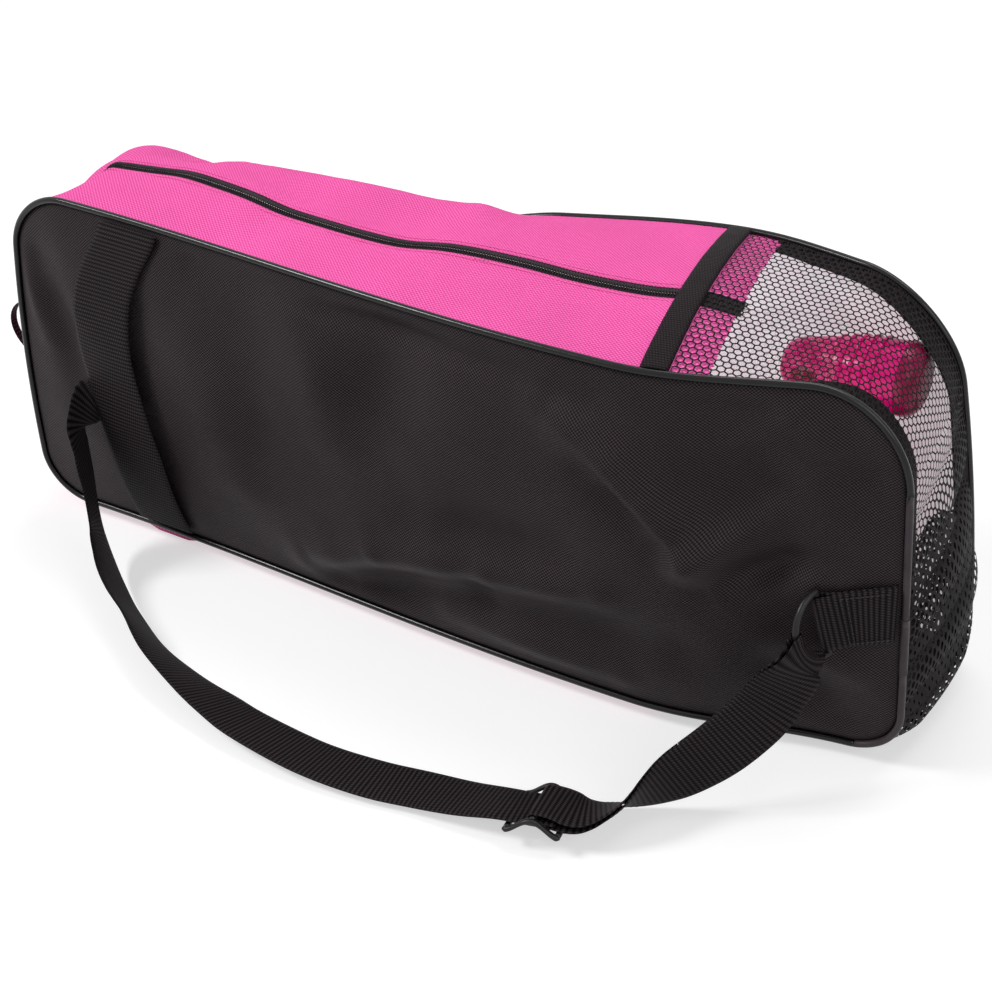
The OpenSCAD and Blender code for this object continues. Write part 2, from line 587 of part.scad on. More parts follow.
// Tab: webbing folded round the ring's bar and sewn into the end seam
tab_end = bag_l / 2 - edge_inset - 1;
tab_pinch = 12;
tab_split = 0.3;
tab_off = 1.8;
fold_n = 12;
module ring_tab() {
    // the seam end's place in the tilted frame
    run = (tab_end - ring_hinge[0]) / cos(ring_tilt);
    rise = front_face(tab_end, ring_z) - web_t - tab_split - tab_off - ring_hinge[1];
    long = norm([run, rise]) + strap_w / 2;
    in_r = wrap_r - web_t / 2;
    out_r = wrap_r + web_t / 2;
    function layer(side, off) = [[long, side * off], [tab_pinch, side * off]];
    function fold(r, from, to) = [for (k = [0:fold_n]) let (a = mix(from, to, k / fold_n))
        [r * cos(a), r * sin(a)]];
    function reverse(list) = [for (i = [len(list) - 1:-1:0]) list[i]];
    color(webbing) difference() {
        hung() rotate([0, 0, atan2(rise, run)]) translate([0, 0, -strap_w / 2]) linear_extrude(strap_w) {
            polygon(concat(layer(1, tab_split), fold(in_r, 90, 270), reverse(layer(-1, tab_split)),
                layer(-1, web_t + tab_split), fold(out_r, 270, 90), reverse(layer(1, web_t + tab_split))));
        }
        translate([tab_end, ring_hinge[1] - strap_w, 0]) cube([strap_w, 2 * strap_w, 2 * bag_h]);
    }
}

// ---- Net frame, balls and legs ----
rest_z = cloth_t + 0.4;
rim_mid_x = -56;
rim_play = 0.45;
layer_y = rim_tube_r + rim_play;
spigot_r = rim_tube_r - rim_wall - 0.1;
rim_angle = 66;
spigot_angle = 2.5;
// Height from one rim part to the next one nested on it, so that their ends just clear
nest_flat = (2 * rim_tube_r + rim_play) / cos(rim_angle / 2);
nest = nest_flat - pow(nest_flat * sin(rim_angle / 2), 2) / (2 * rim_r * cos(rim_angle / 2));
ball_r = ball_d / 2;
ball_wall = 2.4;
ball_gap = 2;
ball_z = rest_z + ball_r;
ball_step = ball_d + ball_gap;
// The lowest rim tubes lie on the two outer balls
touch = sqrt(pow(ball_r + rim_tube_r + rim_play, 2) - pow(layer_y, 2));
arc_z = ball_z - sqrt(pow(rim_r - touch, 2) - pow(ball_step, 2));

module rim_segment(layer, tier) {
    reach = rim_angle / 2;
    color(magenta) translate([rim_mid_x, layer * layer_y, arc_z + tier * nest]) rotate([90, 0, 0]) {
        rotate([0, 0, 90 - reach]) rotate_extrude(angle = rim_angle, $fn = 180)
            translate([rim_r, 0]) difference() {
                circle(r = rim_tube_r);
                circle(r = rim_tube_r - rim_wall);
            }
        for (side = [-1, 1])
            rotate([0, 0, 90 + side * (reach + spigot_angle / 2 - 0.25) - (spigot_angle + 0.5) / 2])
                rotate_extrude(angle = spigot_angle + 0.5, $fn = 180)
                    translate([rim_r, 0]) difference() {
                        circle(r = spigot_r + 0.15);
                        circle(r = spigot_r - rim_wall);
                    }
    }
}
module rim_segment_1() { rim_segment(-1, 0); }
module rim_segment_2() { rim_segment(-1, 1); }
module rim_segment_3() { rim_segment(-1, 2); }
module rim_segment_4() { rim_segment(1, 0); }
module rim_segment_5() { rim_segment(1, 1); }

module ball(k) {
    color([0.95, 0.85, 0.2]) translate([rim_mid_x + (k - 2) * ball_step, 0, ball_z])
        difference() {
            sphere(r = ball_r);
            sphere(r = ball_r - ball_wall);
        }
}
module ball_1() { ball(1); }
module ball_2() { ball(2); }
module ball_3() { ball(3); }

// Folded net under the stood-up legs
net_fold = [92, 48, 24.5];
net_x = 252;
net_y = -7;
leg_gap = 0.4;
module folded_net() {
    color([0.9, 0.9, 0.9]) translate([net_x - net_fold[0] / 2, net_y - net_fold[1] / 2, rest_z])
        cube(net_fold);
}

// A leg: a ribbed hollow body with a cross bore for the rim's spigots, its axis along +Z
socket_z = 18;
socket_r = spigot_r + 0.3;
leg_core_r = 9;
rib_n = 5;
rib_step = 7;
rib_r = 1.4;
rib_from = 34;
dome_r = 11;
module leg_body() {
    difference() {
        union() {
            translate([0, 0, dome_r]) cylinder(r = leg_r - rib_r, h = leg_l - dome_r);
            rotate_extrude() {
                translate([leg_r - rib_r - dome_r, dome_r]) intersection() {
                    circle(r = dome_r);
                    translate([0, -dome_r]) square([dome_r, dome_r]);
                }
                square([leg_r - rib_r - dome_r, dome_r]);
            }
            for (k = [0:rib_n - 1]) translate([0, 0, rib_from + k * rib_step])
                rotate_extrude() translate([leg_r - rib_r, 0]) circle(r = rib_r, $fn = 24);
        }
        translate([0, 0, socket_z]) rotate([90, 0, 0]) cylinder(r = socket_r, h = 3 * leg_r, center = true);
        translate([0, 0, leg_l - 12]) cylinder(r = leg_core_r, h = 20);
    }
}
// Its foot cap, plugged into the core
plug_l = 9;
plug_play = 0.06;
module leg_foot_body() {
    edge = foot_l - 1.5;
    translate([0, 0, leg_l + 0.05]) {
        cylinder(r = leg_r - rib_r + 0.6, h = foot_l - edge);
        translate([0, 0, foot_l - edge]) rotate_extrude() {
            translate([leg_r - rib_r + 0.6 - edge, 0]) intersection() {
                circle(r = edge);
                square([edge, edge]);
            }
            square([leg_r - rib_r + 0.6 - edge, edge]);
        }
        translate([0, 0, -plug_l]) cylinder(r = leg_core_r - plug_play, h = plug_l + 1);
    }
}
leg_full = leg_l + foot_l + 0.05;
stack_z = rest_z + net_fold[2] + leg_gap;
stack_x = [236, 284.6];
// The shown leg lies beside the domed feet of the upper two, a little below their tops
nest_in = 3.9;
shown_leg = [221, 24, stack_z + 2 * (leg_full + leg_gap) + leg_r - nest_in];
module placed_leg(k) {
    if (k == 1) translate(shown_leg) rotate([0, 90, 0]) children();
    else let (i = k - 2) translate([stack_x[i % 2], net_y, stack_z + floor(i / 2) * (leg_full + leg_gap)])
        children();
}
module leg_1() { color(magenta) placed_leg(1) leg_body(); }
module leg_2() { color(magenta) placed_leg(2) leg_body(); }
module leg_3() { color(magenta) placed_leg(3) leg_body(); }
module leg_4() { color(magenta) placed_leg(4) leg_body(); }
module leg_5() { color(magenta) placed_leg(5) leg_body(); }
module leg_foot_1() { color(maroon) placed_leg(1) leg_foot_body(); }
module leg_foot_2() { color(maroon) placed_leg(2) leg_foot_body(); }
module leg_foot_3() { color(maroon) placed_leg(3) leg_foot_body(); }
module leg_foot_4() { color(maroon) placed_leg(4) leg_foot_body(); }
module leg_foot_5() { color(maroon) placed_leg(5) leg_foot_body(); }

// Clear film sleeve round the near end of the leg that lies on top
film_t = 0.5;
film_play = 0.5;
film_from = 166;
film_to = 260;
module leg_polybag() {
    r = leg_r + film_play;
    color([0.9, 0.9, 0.9, 0.4]) translate([film_from, shown_leg[1], shown_leg[2]]) rotate([0, 90, 0])
        difference() {
            cylinder(r = r + film_t, h = film_to - film_from);
            translate([0, 0, film_t]) cylinder(r = r, h = film_to - film_from);
        }
}

front_panel();
back_panel();
front_piping();
back_piping();
piping_joint_sleeve();
gusset_front_strip();
gusset_back_strip();
gusset_bottom();
mesh_end();
mesh_binding_top();
mesh_binding_bottom();
seam_tape_front();
seam_tape_back();
zip_tape_front();
zip_tape_back();
zip_coil_front();
zip_coil_back();
zip_end_stop();
zip_slider();
zip_puller();
end_loop();
front_band();
shoulder_strap();
strap_return();
strap_triglide();
strap_ring();
ring_tab();
rim_segment_1();
rim_segment_2();
rim_segment_3();
rim_segment_4();
rim_segment_5();
leg_1();
leg_2();
leg_3();
leg_4();
leg_5();
leg_foot_1();
leg_foot_2();
leg_foot_3();
leg_foot_4();
leg_foot_5();
ball_1();
ball_2();
ball_3();
folded_net();
leg_polybag();
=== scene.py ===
"""Roundnet set in its long carry bag: cloth, net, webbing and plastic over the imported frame.

The frame is in metres, as Blender is. Lengths below are in millimetres until a mesh is made.
X runs along the bag to its net end, Y to the back, Z up; the origin is on the ground.
"""

import math
import random

import bpy
import numpy as np
from mathutils import Matrix, Vector, noise


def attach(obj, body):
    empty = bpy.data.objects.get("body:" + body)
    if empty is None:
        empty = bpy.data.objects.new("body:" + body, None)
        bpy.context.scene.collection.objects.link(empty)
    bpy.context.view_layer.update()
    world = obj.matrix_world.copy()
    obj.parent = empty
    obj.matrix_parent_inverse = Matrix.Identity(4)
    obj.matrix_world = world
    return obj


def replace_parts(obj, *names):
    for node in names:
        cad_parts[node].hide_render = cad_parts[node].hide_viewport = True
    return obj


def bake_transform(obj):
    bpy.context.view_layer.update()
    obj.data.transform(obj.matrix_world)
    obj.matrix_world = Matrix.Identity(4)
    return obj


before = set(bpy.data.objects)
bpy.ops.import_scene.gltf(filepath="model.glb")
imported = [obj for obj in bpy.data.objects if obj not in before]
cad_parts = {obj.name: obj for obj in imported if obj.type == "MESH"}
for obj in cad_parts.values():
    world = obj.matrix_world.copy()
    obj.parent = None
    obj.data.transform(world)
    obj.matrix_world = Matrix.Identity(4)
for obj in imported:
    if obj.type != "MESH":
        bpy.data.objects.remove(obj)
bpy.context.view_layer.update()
random.seed(7)
MM = 0.001

# ---- Driving sizes of the bag, as in the solids ----
BAG_L, BAG_H, FOOT, FRONT_Y, BACK_Y = 676.0, 260.0, 12.0, 66.0, 54.0
PIPING_R, ZIP_SLOT, WEB_T, STRAP_W, BAND_W = 2.8, 16.0, 1.6, 38.0, 50.0
CORNERS = {"tl": 45.0, "tr": 62.0, "bl": 36.0, "br": 34.0}
MID_Z = FOOT + BAG_H / 2
FRONT_BELLY, BACK_BELLY = 14.0, 10.0
# Each span below is a place along x and the reach to either side of it
FRONT_BOW, FRONT_BOW_TOP, FRONT_BOW_SPAN = 24.0, 8.0, (165, 495, 160)
BACK_BOW, BACK_BOW_SPAN = 22.0, (165, 260, 165)
SKEW, SKEW_SPAN = 12.0, (185, 250, 140)
# How far the upper edges lean in, at the closed end and at the net end, and from where on
FRONT_LEAN, BACK_LEAN, END_LEAN_FROM, NET_LEAN_FROM = (30, 3), (52, 25), 60, 160
# The back's upper edge slumps towards the closed end
SLUMP, SLUMP_FROM, SLUMP_REACH = 17.0, -40, 255
# Stations round the seam start at the closed end's middle and run over the top: the side, its corner, the
# pink cloth, one over the net's binding, the net, its corner and side, and back along the bottom
SIDE_N, CORNER_N, PINK_N, NET_N = 2, 5, 16, 3
HALF_N = 2 * SIDE_N + 2 * CORNER_N + PINK_N + 1 + NET_N
LOOP_N = 2 * HALF_N
BIND_S, BIND_X = SIDE_N + CORNER_N + PINK_N, (175.0, 195.0)
# The station where the zip and its strips start, and the zip's share of the way from front to back
SEAM_S, ZIP_V = 0.75, 0.42
EDGE_V = PIPING_R + 0.4

# ---- How the soft bag hangs ----
# Height of the top cloth's crown by x, and of its plain crown at the closed and the net end
CROWN_AT = ((-338, 9), (-254, 15.5), (-215, 18.7), (-183, 17.5), (-149, 15), (-115, 10.3), (-83, 9), (-50, 8),
            (-20, 8.3), (15, 12.8), (65, 12.3), (110, 8.5), (150, 8), (180, 10), (240, 2), (338, 2))
CLOSED_CROWN, NET_CROWN = 6.0, 3.0
# The pink cloth rolls over the back seam: how far the seam drops, and the cloth's extra height there by x
DROP_AT = ((-338, 4), (-300, 9), (-265, 17), (-240, 19), (-212, 16), (-180, 10), (-60, 9), (30, 9))
ROLL_AT = ((-338, 15), (-305, 4), (-287, -3.5), (-270, -5.7), (-258, -12), (-250, -16.6), (-240, -16),
           (-230, -9), (-218, 0.2), (-205, 1.6), (-190, 2.7), (-182, 3.6), (-168, 4.5), (-150, 5.8),
           (-135, 7.4), (-118, 9), (-85, 10.3), (-55, 10.8), (-25, 10), (-10, 10.8), (5, 14.8), (20, 14),
            (60, 6))
ROLL_END, ROLL_FADE, ROLL_V_SPAN, ROLL_OVER_V = -30, 80, (0.84, 0.26, 0.17), 0.82
# The cloth sinks in at the closed end's upper corner: depth, span in stations and span in shares of the width
SINK, SINK_SPAN, SINK_V_SPAN = 24.0, (5.0, 2.4, 2.2), (0.3, 0.3, 0.3)
# How steeply the bottom cloth comes down from the seam, and its gain below the front piping at the closed end
SAG_PLAIN, SAG_GAIN, SAG_SPAN = 1.34, 6.0, (-228, 45, 50)


# ---- The bag's shape ----
def mix(a, b, t):
    return a + (b - a) * t


def ease(t):
    return 0.5 - 0.5 * np.cos(np.pi * np.clip(t, 0, 1))


def hump(x, middle, left, right):
    """1 at the middle, easing to 0 at its reach to the left and to the right."""
    return 1 - ease(np.abs(x - middle) / np.where(x < middle, left, right))


def unit(v):
    return v / np.maximum(np.linalg.norm(v, axis=-1, keepdims=True), 1e-9)


def lengths_along(path):
    """Length from the start of a path to each of its points."""
    return np.concatenate([[0], np.cumsum(np.linalg.norm(np.diff(path, axis=0), axis=1))])


def half_outline(t, up, ra, rb):
    """Point of the upper or lower half of the panel's outline at station t, from the left middle."""
    ends = np.cumsum([0, SIDE_N, CORNER_N, PINK_N + 1 + NET_N, CORNER_N, SIDE_N])
    edge = up * BAG_H / 2
    if t <= ends[1]:
        return -BAG_L / 2, up * (BAG_H / 2 - ra) * t / SIDE_N
    if t <= ends[2]:
        a = math.radians(90 * (t - ends[1]) / CORNER_N)
        return -BAG_L / 2 + ra - ra * math.cos(a), up * (BAG_H / 2 - ra + ra * math.sin(a))
    if t <= ends[3]:
        k = t - ends[2]
        if k <= PINK_N:
            return mix(-BAG_L / 2 + ra, BIND_X[0], k / PINK_N), edge
        if k <= PINK_N + 1:
            return mix(*BIND_X, k - PINK_N), edge
        return mix(BIND_X[1], BAG_L / 2 - rb, (k - PINK_N - 1) / NET_N), edge
    if t <= ends[4]:
        a = math.radians(90 * (t - ends[3]) / CORNER_N)
        return BAG_L / 2 - rb + rb * math.sin(a), up * (BAG_H / 2 - rb + rb * math.cos(a))
    return BAG_L / 2, up * (BAG_H / 2 - rb) * (1 - (t - ends[4]) / SIDE_N)


def outline_at(s):
    s = s % LOOP_N
    if s <= HALF_N:
        return half_outline(s, 1, CORNERS["tl"], CORNERS["tr"])
    return half_outline(LOOP_N - s, -1, CORNERS["bl"], CORNERS["br"])


def topness(z):
    return np.clip((z - FOOT) / BAG_H, 0, 1)


def front_plane(x, z):
    return -(FRONT_Y + hump(x, *FRONT_BOW_SPAN) * (FRONT_BOW + FRONT_BOW_TOP * topness(z)))


def leaned(x, z, lean):
    closed = lean[0] * ease((-x - END_LEAN_FROM) / (BAG_L / 2 - END_LEAN_FROM))
    net = lean[1] * ease((x - NET_LEAN_FROM) / (BAG_L / 2 - NET_LEAN_FROM))
    return topness(z) ** 2 * (closed - net)


def skewed(x):
    return SKEW * hump(x, *SKEW_SPAN)


def front_pt(px, pz):
    z = MID_Z + pz
    x = px + skewed(px) + leaned(px, z, FRONT_LEAN)
    return np.stack([x, front_plane(x, z), z], -1)


def rolled(px, pz):
    """Share of the cloth's roll over the back seam: full along the closed end's top, none by the middle."""
    return topness(MID_Z + pz) ** 4 * (1 - ease((px - ROLL_END) / ROLL_FADE))


def back_pt(px, pz):
    z = MID_Z + pz
    x = px - skewed(px) + leaned(px, z, BACK_LEAN)
    y = BACK_Y + BACK_BOW * hump(x, *BACK_BOW_SPAN)
    slump = SLUMP * topness(z) * (1 - ease((x - SLUMP_FROM) / SLUMP_REACH))
    return np.stack([x, y, z - slump - curve_table(DROP_AT, px) * rolled(px, pz)], -1)


def curve_table(table, x):
    """A smooth curve through a table of places and values."""
    xs, ys = np.array(table, float).T
    slope = np.gradient(ys, xs)
    i = np.clip(np.searchsorted(xs, x, side="right") - 1, 0, len(xs) - 2)
    w = xs[i + 1] - xs[i]
    t = np.clip((x - xs[i]) / w, 0, 1)
    bend = w * t * (1 - t) * (slope[i] * (1 - t) - slope[i + 1] * t)
    return mix(ys[i], ys[i + 1], t * t * (3 - 2 * t)) + bend


# Everything about the seams is sampled once, finely, and read back by station
FINE = 20
STATION = np.arange(0, LOOP_N * FINE + 1) / FINE
OUT_P = np.array([outline_at(s) for s in STATION])
AHEAD = unit(np.array([np.subtract(outline_at(s + 0.5), outline_at(s - 0.5)) for s in STATION]))
OUT_N = np.stack([-AHEAD[:, 1], 0 * AHEAD[:, 0], AHEAD[:, 0]], -1)
FRONT_E = front_pt(OUT_P[:, 0], OUT_P[:, 1])
BACK_E = back_pt(OUT_P[:, 0], OUT_P[:, 1])
SEAM_LEN = lengths_along(mix(FRONT_E, BACK_E, 0.45))
CROWN_X = curve_table(CROWN_AT, OUT_P[:, 0])
SAG = SAG_PLAIN + SAG_GAIN * hump(OUT_P[:, 0], *SAG_SPAN)
ROLLED = rolled(OUT_P[:, 0], OUT_P[:, 1])
ROLL_DOWN = ROLLED * curve_table(DROP_AT, OUT_P[:, 0])
ROLL_UP = ROLLED * curve_table(ROLL_AT, OUT_P[:, 0])


def at_station(table, s):
    """A fine table read at whole or part stations, blended linearly."""
    f = (np.asarray(s, float) % LOOP_N) * FINE
    i = np.minimum(f.astype(int), len(table) - 2)
    t = f - i
    if table.ndim > 1:
        t = t[..., None]
    return table[i] * (1 - t) + table[i + 1] * t


def gusset(s, v, off=0.0):
    """Point of the gusset: station, share from front to back, offset along its outward side."""
    s, v = np.broadcast_arrays(np.asarray(s, float), np.asarray(v, float))
    n = at_station(OUT_N, s)
    to_top, to_ground = np.maximum(n[..., 2], 0), np.maximum(-n[..., 2], 0)
    to_closed, to_net = np.maximum(-n[..., 0], 0), np.maximum(n[..., 0], 0)
    arch = 4 * v * (1 - v)
    sag = np.where(v < 0.5, at_station(SAG, s), SAG_PLAIN)
    crown = to_top * at_station(CROWN_X, s) * arch + to_ground * FOOT * np.minimum(1, sag * arch)
    crown = crown + (to_closed ** 2 * CLOSED_CROWN + to_net ** 2 * NET_CROWN) * arch
    over = np.sqrt(np.maximum(1 - (np.maximum(v - ROLL_OVER_V, 0) / (1 - ROLL_OVER_V)) ** 2, 0))
    roll = (at_station(ROLL_DOWN, s) * v + at_station(ROLL_UP, s) * hump(v, *ROLL_V_SPAN)) * over
    sink = SINK * hump(s, *SINK_SPAN) * hump(v, *SINK_V_SPAN)
    base = mix(at_station(FRONT_E, s), at_station(BACK_E, s), v[..., None])
    return base + n * (crown + roll - sink + off)[..., None]


def gusset_w(s):
    return np.linalg.norm(at_station(BACK_E, s) - at_station(FRONT_E, s), axis=-1)


def length_at(s):
    """Length round the seam at a station; it runs on past a full round."""
    rounds, s = np.divmod(np.asarray(s, float), LOOP_N)
    return np.interp(s, STATION, SEAM_LEN) + rounds * SEAM_LEN[-1]


def station_at(length):
    rounds, length = np.divmod(length, SEAM_LEN[-1])
    return np.interp(length, SEAM_LEN, STATION) + rounds * LOOP_N


def soft_noise(p, scale, seed=0.0):
    """Smooth noise from -1 to 1 at points in millimetres."""
    flat = np.asarray(p, float).reshape(-1, 3) / scale + np.array([seed, -seed, 2 * seed])
    return np.array([noise.noise(Vector(q)) for q in flat]).reshape(np.asarray(p).shape[:-1])


# ---- Mesh helpers ----
def link(obj):
    bpy.context.scene.collection.objects.link(obj)
    return obj


def make_mesh(name, points, faces, material, uv=None, smooth=True):
    """An object from points in millimetres; uv is one pair in metres per point."""
    mesh = bpy.data.meshes.new(name)
    mesh.from_pydata([tuple(p) for p in np.asarray(points, float) * MM], [], [list(f) for f in faces])
    if uv is not None:
        layer = mesh.uv_layers.new(name="UVMap")
        index = np.empty(len(mesh.loops), np.int32)
        mesh.loops.foreach_get("vertex_index", index)
        layer.data.foreach_set("uv", np.asarray(uv, np.float32)[index].ravel())
    mesh.polygons.foreach_set("use_smooth", [smooth] * len(mesh.polygons))
    mesh.update()
    for m in material if isinstance(material, list) else [material]:
        mesh.materials.append(m)
    return link(bpy.data.objects.new(name, mesh))


def grid_faces(rows, cols, flip=False, close_cols=False):
    faces = []
    for i in range(rows - 1):
        for j in range(cols if close_cols else cols - 1):
            a, b = i * cols + j, i * cols + (j + 1) % cols
            c, d = b + cols, a + cols
            faces.append((a, d, c, b) if flip else (a, b, c, d))
    return faces


def grid_mesh(name, rows, material, uv=None, flip=False, **closing):
    rows = np.asarray(rows, float)
    n, m = rows.shape[:2]
    uv = None if uv is None else np.asarray(uv).reshape(-1, 2)
    return make_mesh(name, rows.reshape(-1, 3), grid_faces(n, m, flip, **closing), material, uv)


def turns(count):
    """Angles of points evenly round a circle."""
    return np.linspace(0, 2 * np.pi, count, endpoint=False)


def add_tube(points, faces, rings, low_cap=False, high_cap=False):
    """Adds a tube through rings of points, with flat ends where asked."""
    base, sides = len(points), len(rings[0])
    last = base + (len(rings) - 1) * sides
    points.extend(p for ring in rings for p in ring)
    faces.extend(tuple(base + i for i in f) for f in grid_faces(len(rings), sides, close_cols=True))
    if low_cap:
        faces.append(tuple(base + i for i in reversed(range(sides))))
    if high_cap:
        faces.append(tuple(last + i for i in range(sides)))


def round_tube(name, path, across, up, radius, sides, material):
    """A round tube along a path, whose cross directions are given at each of its points."""
    angle = turns(sides)
    cos, sin = np.cos(angle)[None, :, None], np.sin(angle)[None, :, None]
    rows = path[:, None] + radius * (across[:, None] * cos + up[:, None] * sin)
    uv = np.stack(np.broadcast_arrays(lengths_along(path)[:, None], (angle * radius)[None]), -1) * MM
    last = (len(path) - 1) * sides
    faces = grid_faces(len(path), sides, close_cols=True)
    faces += [tuple(range(sides)), tuple(last + k for k in reversed(range(sides)))]
    return make_mesh(name, rows.reshape(-1, 3), faces, material, uv.reshape(-1, 2))


def thread_mesh(name, stitches, radius, mat, slot):
    """Short raised threads; each stitch gives its middles, and a side and a normal for each of them."""
    points, faces = [], []
    for stitch in stitches:
        rings = [[middle + radius * (math.cos(a) * side + math.sin(a) * normal) for a in turns(4)]
                 for middle, side, normal in zip(*stitch)]
        add_tube(points, faces, rings)
    return on_bag(make_mesh(name, points, faces, mat), slot)


def spline(a, b, c, d, t):
    """Catmull-Rom between b and c."""
    return b + 0.5 * t * (c - a + t * (2 * a - 5 * b + 4 * c - d + t * (3 * (b - c) + d - a)))


def catmull(rows, per):
    """A Catmull-Rom curve through rows of arrays, with per steps between neighbours."""
    rows = np.asarray(rows, float)
    last = len(rows) - 1
    out = [spline(rows[max(i - 1, 0)], rows[i], rows[i + 1], rows[min(i + 2, last)], t)
           for i in range(last) for t in np.arange(per) / per]
    return np.array(out + [rows[-1]])


def resampled(rows, at, axis):
    """Rows read along an axis at part places, on a Catmull-Rom curve."""
    last = rows.shape[axis] - 1
    i = np.minimum(at.astype(int), last - 1)
    t = (at - i)[:, None, None] if axis == 0 else (at - i)[None, :, None]
    return spline(*(rows.take(k, axis) for k in (np.maximum(i - 1, 0), i, i + 1, np.minimum(i + 2, last))), t)


# ---- Materials ----
def material(name):
    mat = bpy.data.materials.new(name)
    mat.use_nodes = True
    return mat, mat.node_tree, mat.node_tree.nodes["Principled BSDF"]


def add(tree, kind, **settings):
    node = tree.nodes.new(kind)
    for key, value in settings.items():
        setattr(node, key, value)
    return node


def put(tree, socket, value):
    """Sets a socket to a number or a colour, or links it to another node's output."""
    if isinstance(value, (int, float)):
        socket.default_value = value
    elif isinstance(value, tuple):
        socket.default_value = (*value, 1)[:len(socket.default_value)]
    else:
        tree.links.new(value, socket)


def set_shader(tree, shader, **values):
    """Sets the shader's sockets; base_color stands for the socket Base Color, and so on."""
    for key, value in values.items():
        put(tree, shader.inputs[key.replace("_", " ").title().replace("Ior", "IOR")], value)


def math_node(tree, operation, *values):
    node = add(tree, "ShaderNodeMath", operation=operation)
    for socket, value in zip(node.inputs, values):
        put(tree, socket, value)
    return node.outputs[0]


def sine(tree, value, period, phase=0.0):
    """A sine from -1 to 1 of a length in metres."""
    return math_node(tree, "SINE", math_node(tree, "MULTIPLY_ADD", value, 2 * math.pi / period, phase))


def halved(tree, value):
    """A value from -1 to 1 brought to 0 to 1."""
    return math_node(tree, "MULTIPLY_ADD", value, 0.5, 0.5)


def blend_two(tree, a, b, share):
    """The first value by its share and the second by the rest."""
    rest = math_node(tree, "MULTIPLY", b, 1 - share)
    return math_node(tree, "ADD", math_node(tree, "MULTIPLY", a, share), rest)


def uv_parts(tree):
    coord = add(tree, "ShaderNodeTexCoord")
    split = add(tree, "ShaderNodeSeparateXYZ")
    tree.links.new(coord.outputs["UV"], split.inputs[0])
    return coord.outputs["Object"], split.outputs[0], split.outputs[1]


def noise_node(tree, coord, scale, detail=3.0):
    node = add(tree, "ShaderNodeTexNoise")
    for key, value in (("Scale", scale), ("Detail", detail), ("Roughness", 0.55), ("Vector", coord)):
        put(tree, node.inputs[key], value)
    return node.outputs["Fac"]


def ramp(tree, fac, low, high):
    """A ramp between two stops; each is a place and a grey level or a colour."""
    node = add(tree, "ShaderNodeValToRGB")
    for element, (place, colour) in zip(node.color_ramp.elements, (low, high)):
        element.position = place
        element.color = (*colour, 1) if isinstance(colour, tuple) else (colour, colour, colour, 1)
    tree.links.new(fac, node.inputs[0])
    return node.outputs[0]


def bump(tree, shader, height, distance):
    node = add(tree, "ShaderNodeBump")
    put(tree, node.inputs["Distance"], distance)
    tree.links.new(height, node.inputs["Height"])
    tree.links.new(node.outputs[0], shader.inputs["Normal"])


FUZZ_SCALE, PATCH_SCALE, PATCH_SHARE = 1500, 14, 0.6


def woven_cloth(name, light, dark, yarn=0.0023, rough=0.8, gloss=0.3, glow=0.0, patch_tone_and_sheen=0.82):
    """Coated oxford cloth: a check of over and under yarns, in the cloth's own UV lengths."""
    mat, tree, shader = material(name)
    place, u, v = uv_parts(tree)
    weave = halved(tree, math_node(tree, "MULTIPLY", sine(tree, u, yarn), sine(tree, v, yarn * 0.86)))
    thread = blend_two(tree, weave, noise_node(tree, place, FUZZ_SCALE, 2.0), 0.72)
    # the patches darken the cloth's tone at random; on the black cloth they go deeper and are painted uneven
    # sheen
    tone_and_sheen_patch = ramp(tree, noise_node(tree, place, PATCH_SCALE, 4.0), (0.3, patch_tone_and_sheen), (0.7, 1.0))
    tint = add(tree, "ShaderNodeMix", data_type="RGBA", blend_type="MULTIPLY")
    for socket, value in ((0, PATCH_SHARE), (6, ramp(tree, thread, (0.42, dark), (0.66, light))), (7, tone_and_sheen_patch)):
        put(tree, tint.inputs[socket], value)
    # the glow is painted light: an emission in the cloth's light colour, standing in for the light that real
    # cloth lets through to its lining and that lights the inside of the bag
    set_shader(tree, shader, base_color=tint.outputs[2], roughness=rough, specular_ior_level=gloss,
               emission_color=light, emission_strength=glow)
    bump(tree, shader, thread, 0.00025)
    return mat


def webbing_cloth(name, light, dark, rib=0.0031, yarn=0.0018):
    """Ribbed webbing: rounded ribs across the width, each a row of small slanted yarns."""
    mat, tree, shader = material(name)
    place, u, v = uv_parts(tree)
    ribs = halved(tree, sine(tree, u, rib, math.pi / 2))
    slant = math_node(tree, "ADD", v, math_node(tree, "MULTIPLY", u, 0.35))
    yarns = math_node(tree, "MULTIPLY_ADD", halved(tree, sine(tree, slant, yarn)), 0.7, 0.3)
    dashes = math_node(tree, "MULTIPLY", math_node(tree, "MULTIPLY_ADD", ribs, 0.9, 0.1), yarns)
    height = blend_two(tree, dashes, noise_node(tree, place, FUZZ_SCALE, 2.0), 0.85)
    set_shader(tree, shader, base_color=ramp(tree, height, (0.15, dark), (0.85, light)), roughness=0.62,
               specular_ior_level=0.08)
    bump(tree, shader, height, 0.0003)
    return mat


def moulded(name, colour, deep, rough, grain=900, depth=0.00005, coat=0.0, soft=0.0, gloss=0.5):
    """Moulded plastic or rubber with a fine grain and cloudy shade."""
    mat, tree, shader = material(name)
    place = add(tree, "ShaderNodeTexCoord").outputs["Object"]
    fine = noise_node(tree, place, grain)
    set_shader(tree, shader, base_color=ramp(tree, noise_node(tree, place, 45), (0.35, deep), (0.65, colour)),
               roughness=ramp(tree, fine, (0.3, rough * 0.85), (0.7, min(rough * 1.2, 1))),
               specular_ior_level=gloss, coat_weight=coat, coat_roughness=0.12, subsurface_weight=soft,
               subsurface_radius=(0.01, 0.004, 0.004))
    bump(tree, shader, fine, depth)
    return mat


